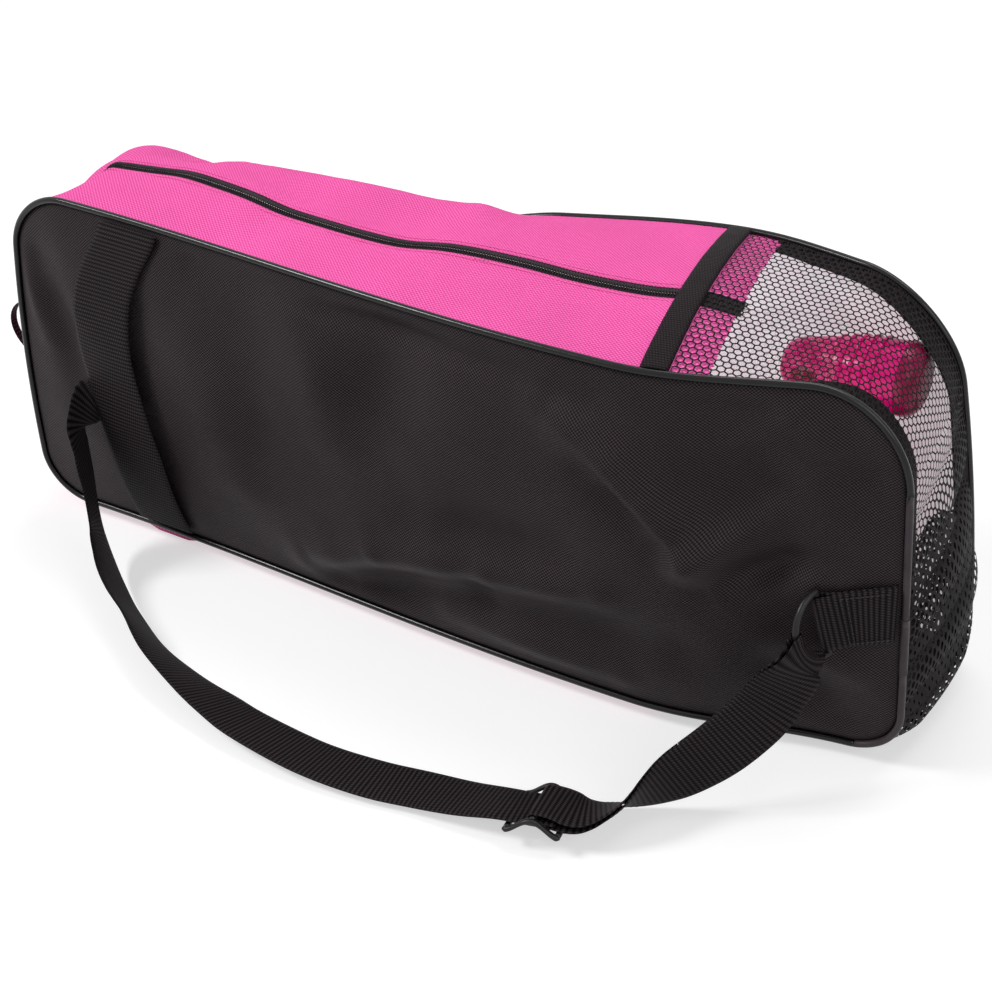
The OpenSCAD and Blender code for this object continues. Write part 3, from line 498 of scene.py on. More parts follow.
def film_material(name):
    """Clear film: nearly invisible but for its fine bright creases."""
    mat, tree, shader = material(name)
    place = add(tree, "ShaderNodeTexCoord").outputs["Object"]
    crease = noise_node(tree, place, 120, 4.0)
    ridge = math_node(tree, "ABSOLUTE", math_node(tree, "SUBTRACT", crease, 0.5))
    clear = ramp(tree, ridge, (0.0, 0.42), (0.035, 0.05))
    # it clings to the leg and hardly shows there; the stops are places along x, in metres
    split = add(tree, "ShaderNodeSeparateXYZ")
    tree.links.new(place, split.inputs[0])
    cling = ramp(tree, split.outputs[0], (0.219, 1.0), (0.227, 0.3))
    shade = ramp(tree, crease, (0.3, (0.70, 0.68, 0.71)), (0.7, (0.92, 0.92, 0.94)))
    seen = math_node(tree, "MULTIPLY", clear, cling)
    set_shader(tree, shader, base_color=shade, alpha=seen, roughness=0.16)
    bump(tree, shader, crease, 0.002)
    return mat


PINKS = (0.94, 0.180, 0.505), (0.70, 0.060, 0.285)
PINK = woven_cloth("pink_oxford", *PINKS, 0.0027, gloss=0.1)
# the hem's glow is painted light that lifts it out of the shade behind the net
HEM_PINK = woven_cloth("pink_hem", *PINKS, 0.0027, gloss=0.1, glow=0.16)
# the black cloth's deeper patches are painted uneven sheen
BLACK = woven_cloth("black_oxford", (0.067, 0.050, 0.057), (0.0020, 0.0013, 0.0017), rough=0.5, gloss=0.1,
                    patch_tone_and_sheen=0.5)
# the lining's glow is painted light, an emission standing in for the light that reaches the inside of the bag
GREY_IN = woven_cloth("grey_coating", (0.82, 0.84, 0.86), (0.75, 0.77, 0.79), rough=0.6, gloss=0.2, glow=0.40)
TAPE = webbing_cloth("black_binding", (0.030, 0.022, 0.026), (0.0022, 0.0014, 0.0018), 0.0019, 0.0017)
WEBBING = webbing_cloth("black_webbing", (0.050, 0.040, 0.044), (0.0012, 0.0009, 0.0010))
PLAY_NET = webbing_cloth("white_net_cord", (0.80, 0.80, 0.79), (0.55, 0.55, 0.55), 0.0016, 0.0016)
NET = moulded("black_net_yarn", (0.012, 0.009, 0.0105), (0.006, 0.0045, 0.0052), 0.6, 3000, gloss=0.08)
PIPING = moulded("black_piping_vinyl", (0.005, 0.004, 0.0045), (0.003, 0.0024, 0.0027), 0.2, 400, 0.00004,
                 gloss=0.3)
PIPING_GREY = moulded("grey_piping_vinyl", (0.062, 0.050, 0.056), (0.044, 0.034, 0.039), 0.38, 400, 0.00004,
                      gloss=0.15)
COIL = moulded("black_coil_nylon", (0.030, 0.024, 0.027), (0.018, 0.014, 0.016), 0.5, 900, 0.00004,
               gloss=0.12)
METAL = moulded("black_enamel", (0.022, 0.020, 0.021), (0.012, 0.011, 0.012), 0.28, 500, 0.00003, 0.4)
NYLON = moulded("black_nylon", (0.010, 0.008, 0.009), (0.006, 0.005, 0.0055), 0.36, 700, gloss=0.3)
MAGENTA = moulded("magenta_plastic", (0.72, 0.001, 0.20), (0.55, 0.0005, 0.14), 0.22, 300, 0.00008, 0.1, 0.1,
                  gloss=0.25)
MAROON = moulded("maroon_plastic", (0.34, 0.001, 0.075), (0.24, 0.0, 0.045), 0.25, 300, 0.00008, 0.1,
                 gloss=0.25)
BALL = moulded("yellow_rubber", (0.90, 0.68, 0.05), (0.80, 0.56, 0.03), 0.55, 700, 0.0003)
THREAD = moulded("black_thread", (0.020, 0.017, 0.018), (0.010, 0.008, 0.009), 0.6, 2000)
PINK_THREAD = moulded("pink_thread", (0.95, 0.17, 0.50), (0.85, 0.12, 0.42), 0.6, 2000)
FILM = film_material("clear_film")


def on_bag(obj, slot, *nodes):
    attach(obj, "bag")
    if nodes:
        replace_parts(obj, *nodes)
    return obj


def thicken(obj, thickness, inner_slot=0):
    """Cloth with a thickness, inwards from its sheet."""
    mod = obj.modifiers.new("thickness", "SOLIDIFY")
    mod.thickness = thickness * MM
    mod.offset = -1.0
    mod.material_offset = inner_slot
    return obj


# ---- Front and back panels ----
# Soft folds of the panels: from, to (x, z), half width and height, which the gain scales
FOLD_GAIN = 3.0
FRONT_FOLDS = (
    # ridge from under the top seam down to the low middle of the panel
    ((120, 238), (168, 211), 11, 3.0), ((168, 211), (213, 166), 10, 4.2), ((205, 168), (232, 128), 9, 3.2),
    ((150, 196), (196, 160), 9, -2.4), ((232, 236), (262, 150), 20, -5.0), ((212, 145), (258, 181), 8, 3.6),
    ((222, 126), (268, 150), 9, -3.0), ((14, 246), (-9, 176), 20, -3.6), ((-60, 244), (-40, 170), 18, 2.6),
    # long low ridge
    ((-87, 41), (-18, 76), 12, 3.4), ((-18, 76), (73, 94), 12, 3.2), ((73, 94), (150, 104), 12, 2.6),
    ((-60, 30), (60, 66), 13, -3.2), ((60, 66), (200, 74), 14, -2.6), ((20, 122), (120, 128), 16, -2.4),
    ((296, 236), (312, 200), 12, -3.0), ((270, 250), (302, 226), 9, 2.4), ((262, 132), (300, 142), 8, 1.8),
    ((286, 92), (326, 66), 9, 2.0), ((262, 70), (300, 34), 10, -3.0), ((-300, 220), (-268, 120), 13, -3.0),
    ((-320, 236), (-300, 160), 8, 2.0), ((-180, 232), (-130, 100), 22, 2.4),
    ((-100, 216), (-110, 110), 16, -1.8), ((-150, 258), (150, 246), 7, -1.6), ((30, 40), (160, 34), 9, 1.6),
)
BACK_FOLDS = (
    ((-250, 60), (-120, 180), 18, 3.5), ((-60, 210), (60, 120), 16, -3.0), ((60, 60), (220, 110), 15, 3.5),
    ((180, 210), (260, 120), 12, -3.0), ((-300, 190), (-240, 110), 12, 2.8), ((120, 200), (30, 230), 10, 2.4),
)
# The panel's cloth: stations between its points, the last ring's share of the way in, and the rings' number
PANEL_STEP, PANEL_END, PANEL_RINGS = 0.125, 0.97, 46
PANEL_INSET, PANEL_STRETCH, PANEL_CALM = 1.2, 0.04, 0.16
# Its slow and its fine waves: height and length
SLOW_WAVE, FINE_WAVE = (1.1, 70), (0.35, 22)
TUCK, TUCK_REACH = 1.4, 0.035
# Where the solids' panels start to swell, in from the seam
SWELL_FROM = PIPING_R + 1


def fold_height(x, z, folds):
    total = np.zeros_like(x)
    for (x0, z0), (x1, z1), wide, high in folds:
        d = np.array([x1 - x0, z1 - z0], float)
        t = np.clip(((x - x0) * d[0] + (z - z0) * d[1]) / d.dot(d), 0, 1)
        dist2 = (x - x0 - t * d[0]) ** 2 + (z - z0 - t * d[1]) ** 2
        fade = 0.35 + 0.65 * np.sin(np.pi * np.clip(t, 0.1, 0.9))
        total += high * np.exp(-dist2 / (2 * wide ** 2)) * fade
    return total


def swell(t):
    return 1 - (1 - t) ** 2


def panel_piece(node, point_at, side, belly, folds, seed):
    """A panel's cloth, in rings from its seam to its middle line; side is -1 in front and 1 behind."""
    stations = np.arange(0, LOOP_N, PANEL_STEP)
    seam = at_station(OUT_P, stations)
    rim = seam - at_station(OUT_N, stations)[:, [0, 2]] * PANEL_INSET
    spine = (BAG_L - BAG_H) / 2
    core = np.stack([np.clip(seam[:, 0], -spine, spine), 0 * seam[:, 0]], -1)
    rows, uvs = [], []
    for t in np.linspace(0, PANEL_END, PANEL_RINGS):
        ring = mix(rim, core, t)
        stretch = 1 + PANEL_STRETCH * t * (1 - (2 * seam[:, 1] / BAG_H) ** 2)
        pt = point_at(ring[:, 0] * stretch, ring[:, 1])
        flat = pt * (1, 0, 1)
        lift = FOLD_GAIN * fold_height(pt[:, 0], pt[:, 2], folds)
        lift = lift + SLOW_WAVE[0] * soft_noise(flat, SLOW_WAVE[1], seed)
        lift = lift + FINE_WAVE[0] * soft_noise(flat, FINE_WAVE[1], 8.0)
        # the cloth turns in under the piping at its very edge
        tuck = TUCK * (1 - ease(t / TUCK_REACH))
        pt[:, 1] += side * (belly * swell(t) + ease(t / PANEL_CALM) * lift - tuck)
        rows.append(pt)
        uvs.append(flat[:, [0, 2]] * MM)
    n = len(stations)
    faces = grid_faces(PANEL_RINGS, n, side < 0, close_cols=True)
    # the last ring's upper and lower sides lie close together and are joined straight across
    last = (PANEL_RINGS - 1) * n
    bridge = [(0, 1, n - 1), (n // 2 - 1, n // 2, n // 2 + 1)]
    bridge += [(k, k + 1, n - k - 1, n - k) for k in range(1, n // 2 - 1)]
    faces += [tuple(last + i for i in (reversed(f) if side < 0 else f)) for f in bridge]
    obj = make_mesh(node + "_cloth", np.concatenate(rows), faces, [BLACK, GREY_IN], np.concatenate(uvs))
    on_bag(thicken(obj, 1.0, 1), "black_cloth", node)


def front_face(x, z):
    """Y of the front panel's plain outer face, as the solids have it."""
    flat_x = x - leaned(x, z, FRONT_LEAN)
    edge = np.minimum(BAG_H / 2 - abs(z - MID_Z), BAG_L / 2 - abs(flat_x)) - SWELL_FROM
    return front_plane(x, z) - FRONT_BELLY * swell(np.clip(edge / (BAG_H / 2 - SWELL_FROM), 0, 1))


# ---- Piping with its sleeve ----
PIPING_SEEN, SLEEVE_THICK, LAP = 2.3, 0.4, 0.02
# The grey, worn stretch at the net end and the sleeve on it, in stations
GREY_S, SLEEVE_S = (HALF_N - 2.0, HALF_N + 6.5), (HALF_N + 0.42, HALF_N + 1.3)


def piping_piece(name, edge, s0, s1, radius, mat, slot, *nodes, sides=14):
    s = np.linspace(s0, s1, max(8, int((s1 - s0) * 5)))
    level = np.tile([0.0, 1.0, 0.0], (len(s), 1))
    obj = round_tube(name, at_station(edge, s), at_station(OUT_N, s), level, radius, sides, mat)
    on_bag(obj, slot, *nodes)


def pipings():
    piping_piece("front_piping_vinyl", FRONT_E, GREY_S[1] - LAP, GREY_S[0] + LAP + LOOP_N, PIPING_SEEN,
                 PIPING, "black_piping", "front_piping")
    for k, (a, b) in enumerate(((GREY_S[0], SLEEVE_S[0] + LAP), (SLEEVE_S[1] - LAP, GREY_S[1]))):
        piping_piece(f"front_piping_worn_{k}", FRONT_E, a, b, PIPING_SEEN, PIPING_GREY, "grey_piping")
    piping_piece("piping_sleeve", FRONT_E, *SLEEVE_S, PIPING_SEEN + SLEEVE_THICK, PIPING_GREY, "grey_piping",
                 "piping_joint_sleeve", sides=18)
    piping_piece("back_piping_vinyl", BACK_E, 0, LOOP_N, PIPING_SEEN, PIPING, "black_piping", "back_piping")


# ---- Gusset cloth ----
# An edge of a strip is a share of the gusset's width and a length from there, which may change along the seam
RIM_IN = EDGE_V - 1.6
FRONT_RIM, BACK_RIM, BACK_SEAM = (0.0, RIM_IN), (1.0, -RIM_IN), (1.0, 0.0)
# How far the cloth runs on under the bindings, and under the other cloth at the zip's foot, in stations
BIND_LAP, FOOT_LAP, FOOT_GAP = 0.15, 0.05, 0.02
CLOTH_T, ZIP_HEM, STITCH_OFF = 0.9, 2.2, 1.2


def beside_zip(side, out):
    """An edge beside the zip's slot: side is -1 in front and 1 behind, out is how far outside the slot."""
    return ZIP_V, side * (ZIP_SLOT / 2 + out)


def edge_share(edge, s, w):
    return edge[0] + (edge[1](s) if callable(edge[1]) else edge[1]) / w


def above_ground(points, least=1.2):
    points[..., 2] = np.maximum(points[..., 2], least)
    return points


def gusset_cloth(name, s0, s1, v_from, v_to, mat, cols, drop=0.0, wrinkle=1.0, step=4.0, flip=False):
    """A strip of gusset between two edges."""
    count = max(3, int((length_at(s1) - length_at(s0)) / step))
    s = station_at(np.linspace(length_at(s0), length_at(s1), count))
    w = gusset_w(s)
    share = np.linspace(0, 1, cols)
    v = mix(edge_share(v_from, s, w)[:, None], edge_share(v_to, s, w)[:, None], share[None])
    S = np.broadcast_to(s[:, None], v.shape)
    flat = gusset(S, v)
    calm = np.minimum(1, np.minimum(share, 1 - share) / 0.12)[None]
    lift = wrinkle * calm * (soft_noise(flat, 48, 1.5) + 0.4 * soft_noise(flat, 17, 6.0))
    uv = np.stack([np.broadcast_to(length_at(s)[:, None], v.shape), v * w[:, None]], -1) * MM
    return grid_mesh(name, above_ground(gusset(S, v, lift - drop)), mat, uv, flip)


def gusset_pieces():
    # the back strip ends in the back piping's middle, where the cloth rolled over the seam comes down
    top = (SEAM_S - FOOT_LAP, BIND_S + BIND_LAP)
    bottom = (LOOP_N - BIND_S - BIND_LAP, LOOP_N + SEAM_S - FOOT_GAP)
    for name, ends, a, b, cols, wrinkle in (
            ("gusset_front_strip", top, FRONT_RIM, beside_zip(-1, -ZIP_HEM), 34, 1.0),
            ("gusset_back_strip", top, beside_zip(1, -ZIP_HEM), BACK_SEAM, 34, 1.0),
            ("gusset_bottom", bottom, FRONT_RIM, BACK_RIM, 40, 0.35)):
        obj = gusset_cloth(name + "_cloth", *ends, a, b, [PINK, GREY_IN], cols, wrinkle=wrinkle, flip=True)
        on_bag(thicken(obj, CLOTH_T, 1), "pink_cloth", name)
    for k, side in enumerate((-1, 1)):
        stitch_row(f"zip_stitches_{k}", SEAM_S + 0.2, BIND_S - 0.1, beside_zip(side, STITCH_OFF))


def stitch_row(name, s0, s1, edge, lift=0.35, pitch=3.0, radius=0.32):
    """A row of stitches along the gusset."""
    high = np.array([-0.1, lift, lift, -0.1]) + 0.25
    stitches = []
    for start in np.linspace(length_at(s0), length_at(s1), int((length_at(s1) - length_at(s0)) / pitch)):
        s = station_at(start + np.linspace(0, pitch * 0.72, 4))
        middles = gusset(s, edge_share(edge, s, gusset_w(s)), high)
        stitches.append((middles, np.tile([0.0, 1.0, 0.0], (4, 1)), at_station(OUT_N, s)))
    thread_mesh(name, stitches, radius, PINK_THREAD, "pink_cloth")


# ---- Bindings, raw hem and the net ----
# The binding reaches so far behind and ahead of the pink cloth's end
BIND_BACK, BIND_AHEAD = 3.0, 12.5
BIND_TOP_AT, BIND_LOW_AT = float(length_at(BIND_S)), float(length_at(LOOP_N - BIND_S))
TOP_BIND = (BIND_TOP_AT - BIND_BACK, BIND_TOP_AT + BIND_AHEAD)
LOW_BIND = (BIND_LOW_AT - BIND_AHEAD, BIND_LOW_AT + BIND_BACK)
BIND_PUFF, BIND_T, BIND_DENT, BIND_SEAMS, BIND_SHARES = 1.5, 1.1, 0.45, (0.14, 0.86), (0.006, 0.99)


def bindings():
    for name, ends, stitched in (("mesh_binding_top", TOP_BIND, BIND_SEAMS),
                                 ("mesh_binding_bottom", LOW_BIND, ())):
        run = np.linspace(*ends, 12)
        S, V = np.meshgrid(station_at(run), np.linspace(*BIND_SHARES, 60), indexing="ij")
        across = (run - run[0]) / (run[-1] - run[0])
        puff = BIND_PUFF * np.minimum(1, np.minimum(across, 1 - across) / 0.1) ** 0.5
        dent = BIND_DENT * sum(np.exp(-((across - seam) / 0.04) ** 2) for seam in BIND_SEAMS)
        lift = (puff - dent)[:, None] + 0.35 * soft_noise(gusset(S, V), 9, 2.0)
        uv = np.stack([V * gusset_w(S), np.broadcast_to(run[:, None], V.shape)], -1) * MM
        obj = grid_mesh(name + "_tape", above_ground(gusset(S, V, lift), 0.4), TAPE, uv)
        on_bag(thicken(obj, BIND_T), "black_cloth", name)
        for k, seam in enumerate(stitched):
            cross_stitches(f"binding_stitches_{k}", station_at(mix(*ends, seam)))


def cross_stitches(name, station, lift=1.2, pitch=3.0, radius=0.3):
    """A row of stitches across the gusset at one station."""
    wide = float(gusset_w(np.array(station)))
    s = np.full(4, station)
    n = at_station(OUT_N, s)
    side = unit(np.cross(n, [0, 1, 0]))
    high = np.array([-0.1, 0.4, 0.4, -0.1]) + lift
    stitches = [(gusset(s, (start + np.linspace(0, pitch * 0.7, 4)) / wide, high), side, n)
                for start in np.arange(EDGE_V + 1, wide - EDGE_V - 1, pitch)]
    thread_mesh(name, stitches, radius, THREAD, "black_cloth")


HEM_REACH, HEM_DEEP, TAPE_DEEP, HEM_ROWS = 24.0, 1.6, 0.9, 9


def frayed_hem():
    """The pink cloth and the zip's tape run on under the net and end in raw, frayed edges."""
    start = TOP_BIND[1] - 2
    for name, a, b, mat, slot, reach, deep, cols in (
            ("hem_front", FRONT_RIM, beside_zip(-1, -1), HEM_PINK, "pink_cloth", HEM_REACH, HEM_DEEP, 90),
            ("hem_back", beside_zip(1, -1), (1.0, -0.8), HEM_PINK, "pink_cloth", HEM_REACH, HEM_DEEP, 90),
            ("hem_zip_tape", beside_zip(-1, 0), beside_zip(1, 0), TAPE, "black_tape", HEM_REACH + 2,
             TAPE_DEEP, 40)):
        # every second yarn stands back, and the tape has some long ones
        jag = np.array([random.uniform(*((-1.6, 1.0) if k % 2 else (-0.4, 0.8))) for k in range(cols)])
        if name == "hem_zip_tape":
            jag = jag + np.array([random.choice([0, 0, 0, 3.5]) for _ in range(cols)])
        rows, uvs = [], []
        for t in np.linspace(0, 1, HEM_ROWS):
            run = start + (reach + jag * (t == 1)) * t
            s = station_at(run)
            w = gusset_w(s)
            v = mix(edge_share(a, s, w), edge_share(b, s, w), np.linspace(0, 1, cols))
            rows.append(gusset(s, v, -deep - 0.7 * t * soft_noise(gusset(s, v), 30, 4.0)))
            uvs.append(np.stack([run, v * w], -1) * MM)
        on_bag(grid_mesh(name, rows, mat, uvs), slot)


# The net sags in slanting folds down the bag's end; lengths round the seam, in millimetres
SLACK_FROM, SLACK_TO = float(length_at(HALF_N - 2.2)), float(length_at(HALF_N + 7.5))
GATHER_TO, LOW_FROM = float(length_at(HALF_N + 9)), float(length_at(HALF_N + 1))
FOLD_PITCH, FOLD_SLANT, FOLD_SHIFT, FOLD_LIFT, NET_BULGE, NET_DROP = 47.0, 2.2, 9.5, 4.5, 9.0, 0.4


def net_shape(run, v, turned=0.0):
    """The net's own sag and folds: run is the length round the seam, v the share across."""
    share = np.clip((run - SLACK_FROM) / (SLACK_TO - SLACK_FROM), 0, 1)
    window = np.sin(np.pi * share) ** 0.7 * (run > SLACK_FROM) * (run < SLACK_TO)
    across = np.sin(np.pi * v) ** 0.6
    turn = 2 * np.pi * (run - SLACK_FROM) / FOLD_PITCH + FOLD_SLANT * (v - 0.5) + turned
    lift = window * across * (FOLD_LIFT * np.cos(turn) + 2.0)
    bulge = np.exp(-((run - mix(SLACK_FROM, SLACK_TO, 0.62)) / 42) ** 2) * v ** 1.5 * np.sin(np.pi * v) ** 0.3
    slack = 1.2 * np.sin(run / 17) * across * (window > 0.02)
    s = station_at(run + window * across * FOLD_SHIFT * np.sin(turn))
    return s, lift + NET_BULGE * bulge + slack - NET_DROP


# Lengths in which the net is drawn together and let go, and over which its low corner begins
GATHER_IN, GATHER_OUT, LOW_REACH, GATHER_DEPTH = 90, 120, 60, 0.7
# A cell's sizes for its pitch, and its corners in half cells along the seam and cells across it
CELL_LONG, CELL_WIDE, ACROSS_TIGHT, NET_EDGE = 0.92, 0.86, 0.96, 0.008
CELL = ((0, -0.66), (1, -0.34), (1, 0.34), (0, 0.66), (-1, 0.34), (-1, -0.34))


def hex_net(name, run0, run1, mat, pitch=5.2, hole=0.80, tight=0.5, slant=0.0, deep=0.0):
    """Hexagonal net: each cell is a ring of six quads round its hole; its first edge may slant across."""
    dx, dy = pitch * CELL_LONG, pitch * CELL_WIDE
    points, index, faces = [], {}, []

    def corner(x, y):
        key = (round(x * 20), round(y * 20))
        if key not in index:
            index[key] = len(points)
            points.append((x, y))
        return index[key]

    wide = float(gusset_w(np.array(float(BIND_S + 1)))) + 4
    for j in range(int(wide / dy) + 2):
        for i in range(int((run1 - run0) / dx) + 1):
            cx, cy = run0 + (i + 0.5 * (j % 2) + 0.5) * dx, (j + 0.5) * dy
            ring = [(cx + dx * 0.5 * a, cy + dy * b) for a, b in CELL]
            outer = [corner(*c) for c in ring]
            base = len(points)
            # the net is drawn together where it sags at the low corner
            gathered = ease((cx - SLACK_FROM) / GATHER_IN) * (1 - ease((cx - GATHER_TO) / GATHER_OUT))
            depth = max(ease(cy / wide / GATHER_DEPTH), ease((cx - LOW_FROM) / LOW_REACH))
            open_share = mix(hole, tight, float(gathered * depth))
            points.extend((mix(cx, x, open_share), mix(cy, y, open_share * ACROSS_TIGHT)) for x, y in ring)
            faces += [(outer[k], outer[(k + 1) % 6], base + (k + 1) % 6, base + k) for k in range(6)]
    pts = np.array(points, float)
    w = gusset_w(station_at(pts[:, 0]))
    v = (pts[:, 1] - 0.5 * wide + 0.5 * w) / w
    inside = (v > NET_EDGE) & (v < 1 - NET_EDGE) & (pts[:, 0] > run0 + slant * v)
    v = np.clip(v, 0, 1)
    faces = [f for f in faces if all(inside[i] for i in f)]
    s, lift = net_shape(pts[:, 0], v, deep)
    place = above_ground(gusset(s, v, lift - deep), 0.3 + 0.4 * deep)
    used = sorted({i for f in faces for i in f})
    new = {old: k for k, old in enumerate(used)}
    faces = [tuple(new[i] for i in f) for f in faces]
    return on_bag(make_mesh(name, place[used], faces, mat, pts[used] * MM), "black_net")


def way_on(s, start, reach):
    """Share of a reach round the seam, from a place past the top binding on."""
    return ease((length_at(s) - TOP_BIND[1] - start) / reach)


def low_corner(s):
    """Share of the way into the net end's low corner, where the net is gathered."""
    return ease((length_at(s) - float(length_at(HALF_N)) - 15) / 70)


# The seam tapes' widths at the binding, and what they gain past it and in the low corner
FRONT_TAPE_WIDE, BACK_TAPE_WIDE = (3.5, 14, 20), (EDGE_V + 13, 13, 24)


def front_tape_edge(s):
    start, past, low = FRONT_TAPE_WIDE
    return start + past * way_on(s, 50, 70) + low * low_corner(s)


def back_tape_edge(s):
    start, past, low = BACK_TAPE_WIDE
    return -start - past * way_on(s, 60, 90) - low * low_corner(s)


NET_LAP, NET_FOLD_FROM, SEAM_TAPE_T, SEAM_TAPE_COLS = 1.5, 205.0, 0.8, 10


def net_pieces():
    run0, run1 = TOP_BIND[1] - NET_LAP, LOW_BIND[0] + NET_LAP
    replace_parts(hex_net("end_net", run0, run1, NET), "mesh_end")
    # the slack of the net lies folded under itself at the low corner
    hex_net("end_net_fold", run0 + NET_FOLD_FROM, run1, NET, pitch=5.0, hole=0.48, tight=0.32, slant=60.0,
            deep=2.5)
    # seam tapes behind the net, along both pipings; each sinks in from its piping
    sunk = mix(0.9, 3.2, ease(np.linspace(0, 3, SEAM_TAPE_COLS)))
    hem_end = float(station_at(TOP_BIND[1] + HEM_REACH - 4))
    for name, a, b, drop in (("seam_tape_front", (0.0, 1.0), (0.0, front_tape_edge), sunk),
                             ("seam_tape_back", (1.0, back_tape_edge), (1.0, -1.0), sunk[::-1])):
        obj = gusset_cloth(name + "_cloth", hem_end, LOOP_N - BIND_S - 0.7, a, b, TAPE, SEAM_TAPE_COLS, drop,
                           wrinkle=0.7, step=3.0)
        on_bag(thicken(obj, SEAM_TAPE_T), "black_cloth", name)


# ---- Zip ----
ZIP_END_S, TAPE_DROP, TAPE_T, COIL_PITCH, COIL_HIGH, COIL_LIFT = BIND_S + 0.1, 0.8, 0.6, 1.9, 0.55, 0.35
GAP_WIDE, GAP_CLOSED, GAP_FROM, GAP_REACH = 2.6, 0.7, SIDE_N + 0.3, 0.5
# One loop of a coil, from its root on the tape to its head: across, height and half width
COIL_LOOP = ((3.2, -0.9, 0.55), (2.2, 0.5, 0.62), (0.6, 1.05, 0.70), (-0.8, 0.75, 0.62), (-1.0, -0.2, 0.45))


def zip_gap(s):
    """Half the gap between the tapes: wide where the slider runs, nearly closed under the locked coils."""
    return mix(GAP_WIDE, GAP_CLOSED, ease((s - GAP_FROM) / GAP_REACH))


def front_zip_edge(s):
    return -zip_gap(s)


def zip_pieces():
    for name, a, b in (("zip_tape_front", beside_zip(-1, -0.2), (ZIP_V, front_zip_edge)),
                       ("zip_tape_back", (ZIP_V, zip_gap), beside_zip(1, -0.2))):
        obj = gusset_cloth(name + "_cloth", SEAM_S, ZIP_END_S, a, b, TAPE, 6, TAPE_DROP, 0.0, step=3.0)
        on_bag(thicken(obj, TAPE_T), "black_tape", name)
    coil_side("zip_coil_0", -1, "zip_coil_front")
    coil_side("zip_coil_1", 1, "zip_coil_back")
    for name in ("zip_end_stop", "zip_slider", "zip_puller"):
        paint(name, METAL)


def coil_side(name, side, node):
    """One side's coil: a row of rounded loops that lean over the middle and lock with the other row."""
    start = COIL_PITCH / 2 if side > 0 else 0
    points, faces = [], []
    for run in np.arange(length_at(SEAM_S + 0.3), length_at(ZIP_END_S), COIL_PITCH) + start:
        s = float(station_at(run))
        w, n = float(gusset_w(s)), at_station(OUT_N, s)
        ahead = unit(gusset(station_at(run + 1.0), ZIP_V) - gusset(s, ZIP_V))
        rings = []
        for across, high, half in COIL_LOOP:
            middle = gusset(s, ZIP_V + side * across / w, high + COIL_LIFT)
            rings.append([middle + half * math.cos(a) * ahead + COIL_HIGH * math.sin(a) * n
                          for a in turns(6)])
        add_tube(points, faces, rings, high_cap=True)
    on_bag(make_mesh(name, points, faces, COIL), "black_coil", node)


def paint(node, mat):
    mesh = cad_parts[node].data
    mesh.materials.clear()
    mesh.materials.append(mat)
    mesh.polygons.foreach_set("use_smooth", [True] * len(mesh.polygons))


# ---- Webbing ----
RIB, RIB_STEPS, RIB_RISE = 3.1, 4, 1.6
# Places across a strap, in half widths
ACROSS = np.array([-1, -0.5, 0, 0.5, 1])


def webbing_mesh(name, rows, mat, lift=0.12, cols=13):
    """Webbing from coarse rows (n, m, 3): fine ribs across it, rounded edges, and a closed skin."""
    rows = np.asarray(rows, float)
    run = lengths_along(rows[:, rows.shape[1] // 2])
    want = np.arange(0, run[-1], RIB / RIB_STEPS)
    fine = resampled(rows, np.interp(want, run, np.arange(len(run))), 0)
    fine = resampled(fine, np.linspace(0, fine.shape[1] - 1, cols), 1)
    n = unit(np.cross(unit(np.gradient(fine, axis=0)), unit(np.gradient(fine, axis=1))))
    rib = 0.5 + 0.5 * np.cos(2 * np.pi * want / RIB)
    edge = np.sqrt(np.clip(1 - np.linspace(-1, 1, cols) ** 8, 0.02, 1))
    half = (WEB_T / 2 - lift + lift * RIB_RISE * rib)[:, None, None] * edge[None, :, None]
    loop = np.concatenate([fine + n * half, (fine - n * half)[:, ::-1]], axis=1)
    across = np.linspace(0, float(np.linalg.norm(fine[0, -1] - fine[0, 0])), cols)
    uv = np.stack(np.broadcast_arrays(want[:, None], np.append(across, across[::-1])[None]), -1) * MM
    points, faces = [], []
    add_tube(points, faces, loop, low_cap=True, high_cap=True)
    return make_mesh(name, points, faces, mat, uv.reshape(-1, 2))


# Band down the front: its middle line on the panel (x, z, stand-off)
BAND_LINE = ((-204, 267.5, 2.4), (-208, 257, 4), (-219, 238, 6), (-227, 218, 7.5), (-231, 196, 8),
             (-232, 172, 8), (-230, 146, 7.5), (-227, 118, 7.5), (-225, 92, 6.5), (-226, 66, 5),
             (-226, 40, 3.5), (-224, 18, 2.2))


def band_piece():
    rows = []
    for x, z, off in catmull(BAND_LINE, 4):
        xs = x + ACROSS * BAND_W / 2
        rows.append(np.stack([xs, front_face(xs, z) - off - WEB_T / 2, np.full(5, z)], -1))
    on_bag(webbing_mesh("front_band_webbing", rows, WEBBING), "black_webbing", "front_band")


# ---- Strap hardware's places ----
def circle_pt(a, r=1.0):
    return r * math.cos(a), r * math.sin(a)


# The D-ring hangs from its tab; the strap sits in its bow, spread over an arc of it
RING_X, RING_Z, RING_STANDS = 293.0, 117.0, 3.4
RING_TILT, RING_TURN, SIT, SPREAD = np.radians((13, 70, 30, 42))
BOW_R, RING_BAR_R, WRAP_GAP = 22.0, 2.2, 0.3
WRAP_R = RING_BAR_R + WRAP_GAP + WEB_T / 2
RING_HINGE = np.array([RING_X, float(front_face(RING_X, RING_Z)) - WRAP_R - WEB_T / 2 - RING_STANDS, RING_Z])
RING_Q = np.array([-math.cos(RING_TURN) * math.cos(RING_TILT), -math.sin(RING_TURN),
                   -math.cos(RING_TURN) * math.sin(RING_TILT)])
RING_W = np.array([math.sin(RING_TILT), 0.0, -math.cos(RING_TILT)])
RING_N = np.cross(RING_Q, RING_W)
PULL = RING_Q * math.cos(SIT) + RING_W * math.sin(SIT)
SIT_SIDE = RING_W * math.cos(SIT) - RING_Q * math.sin(SIT)
SIT_AT = RING_HINGE + BOW_R * PULL
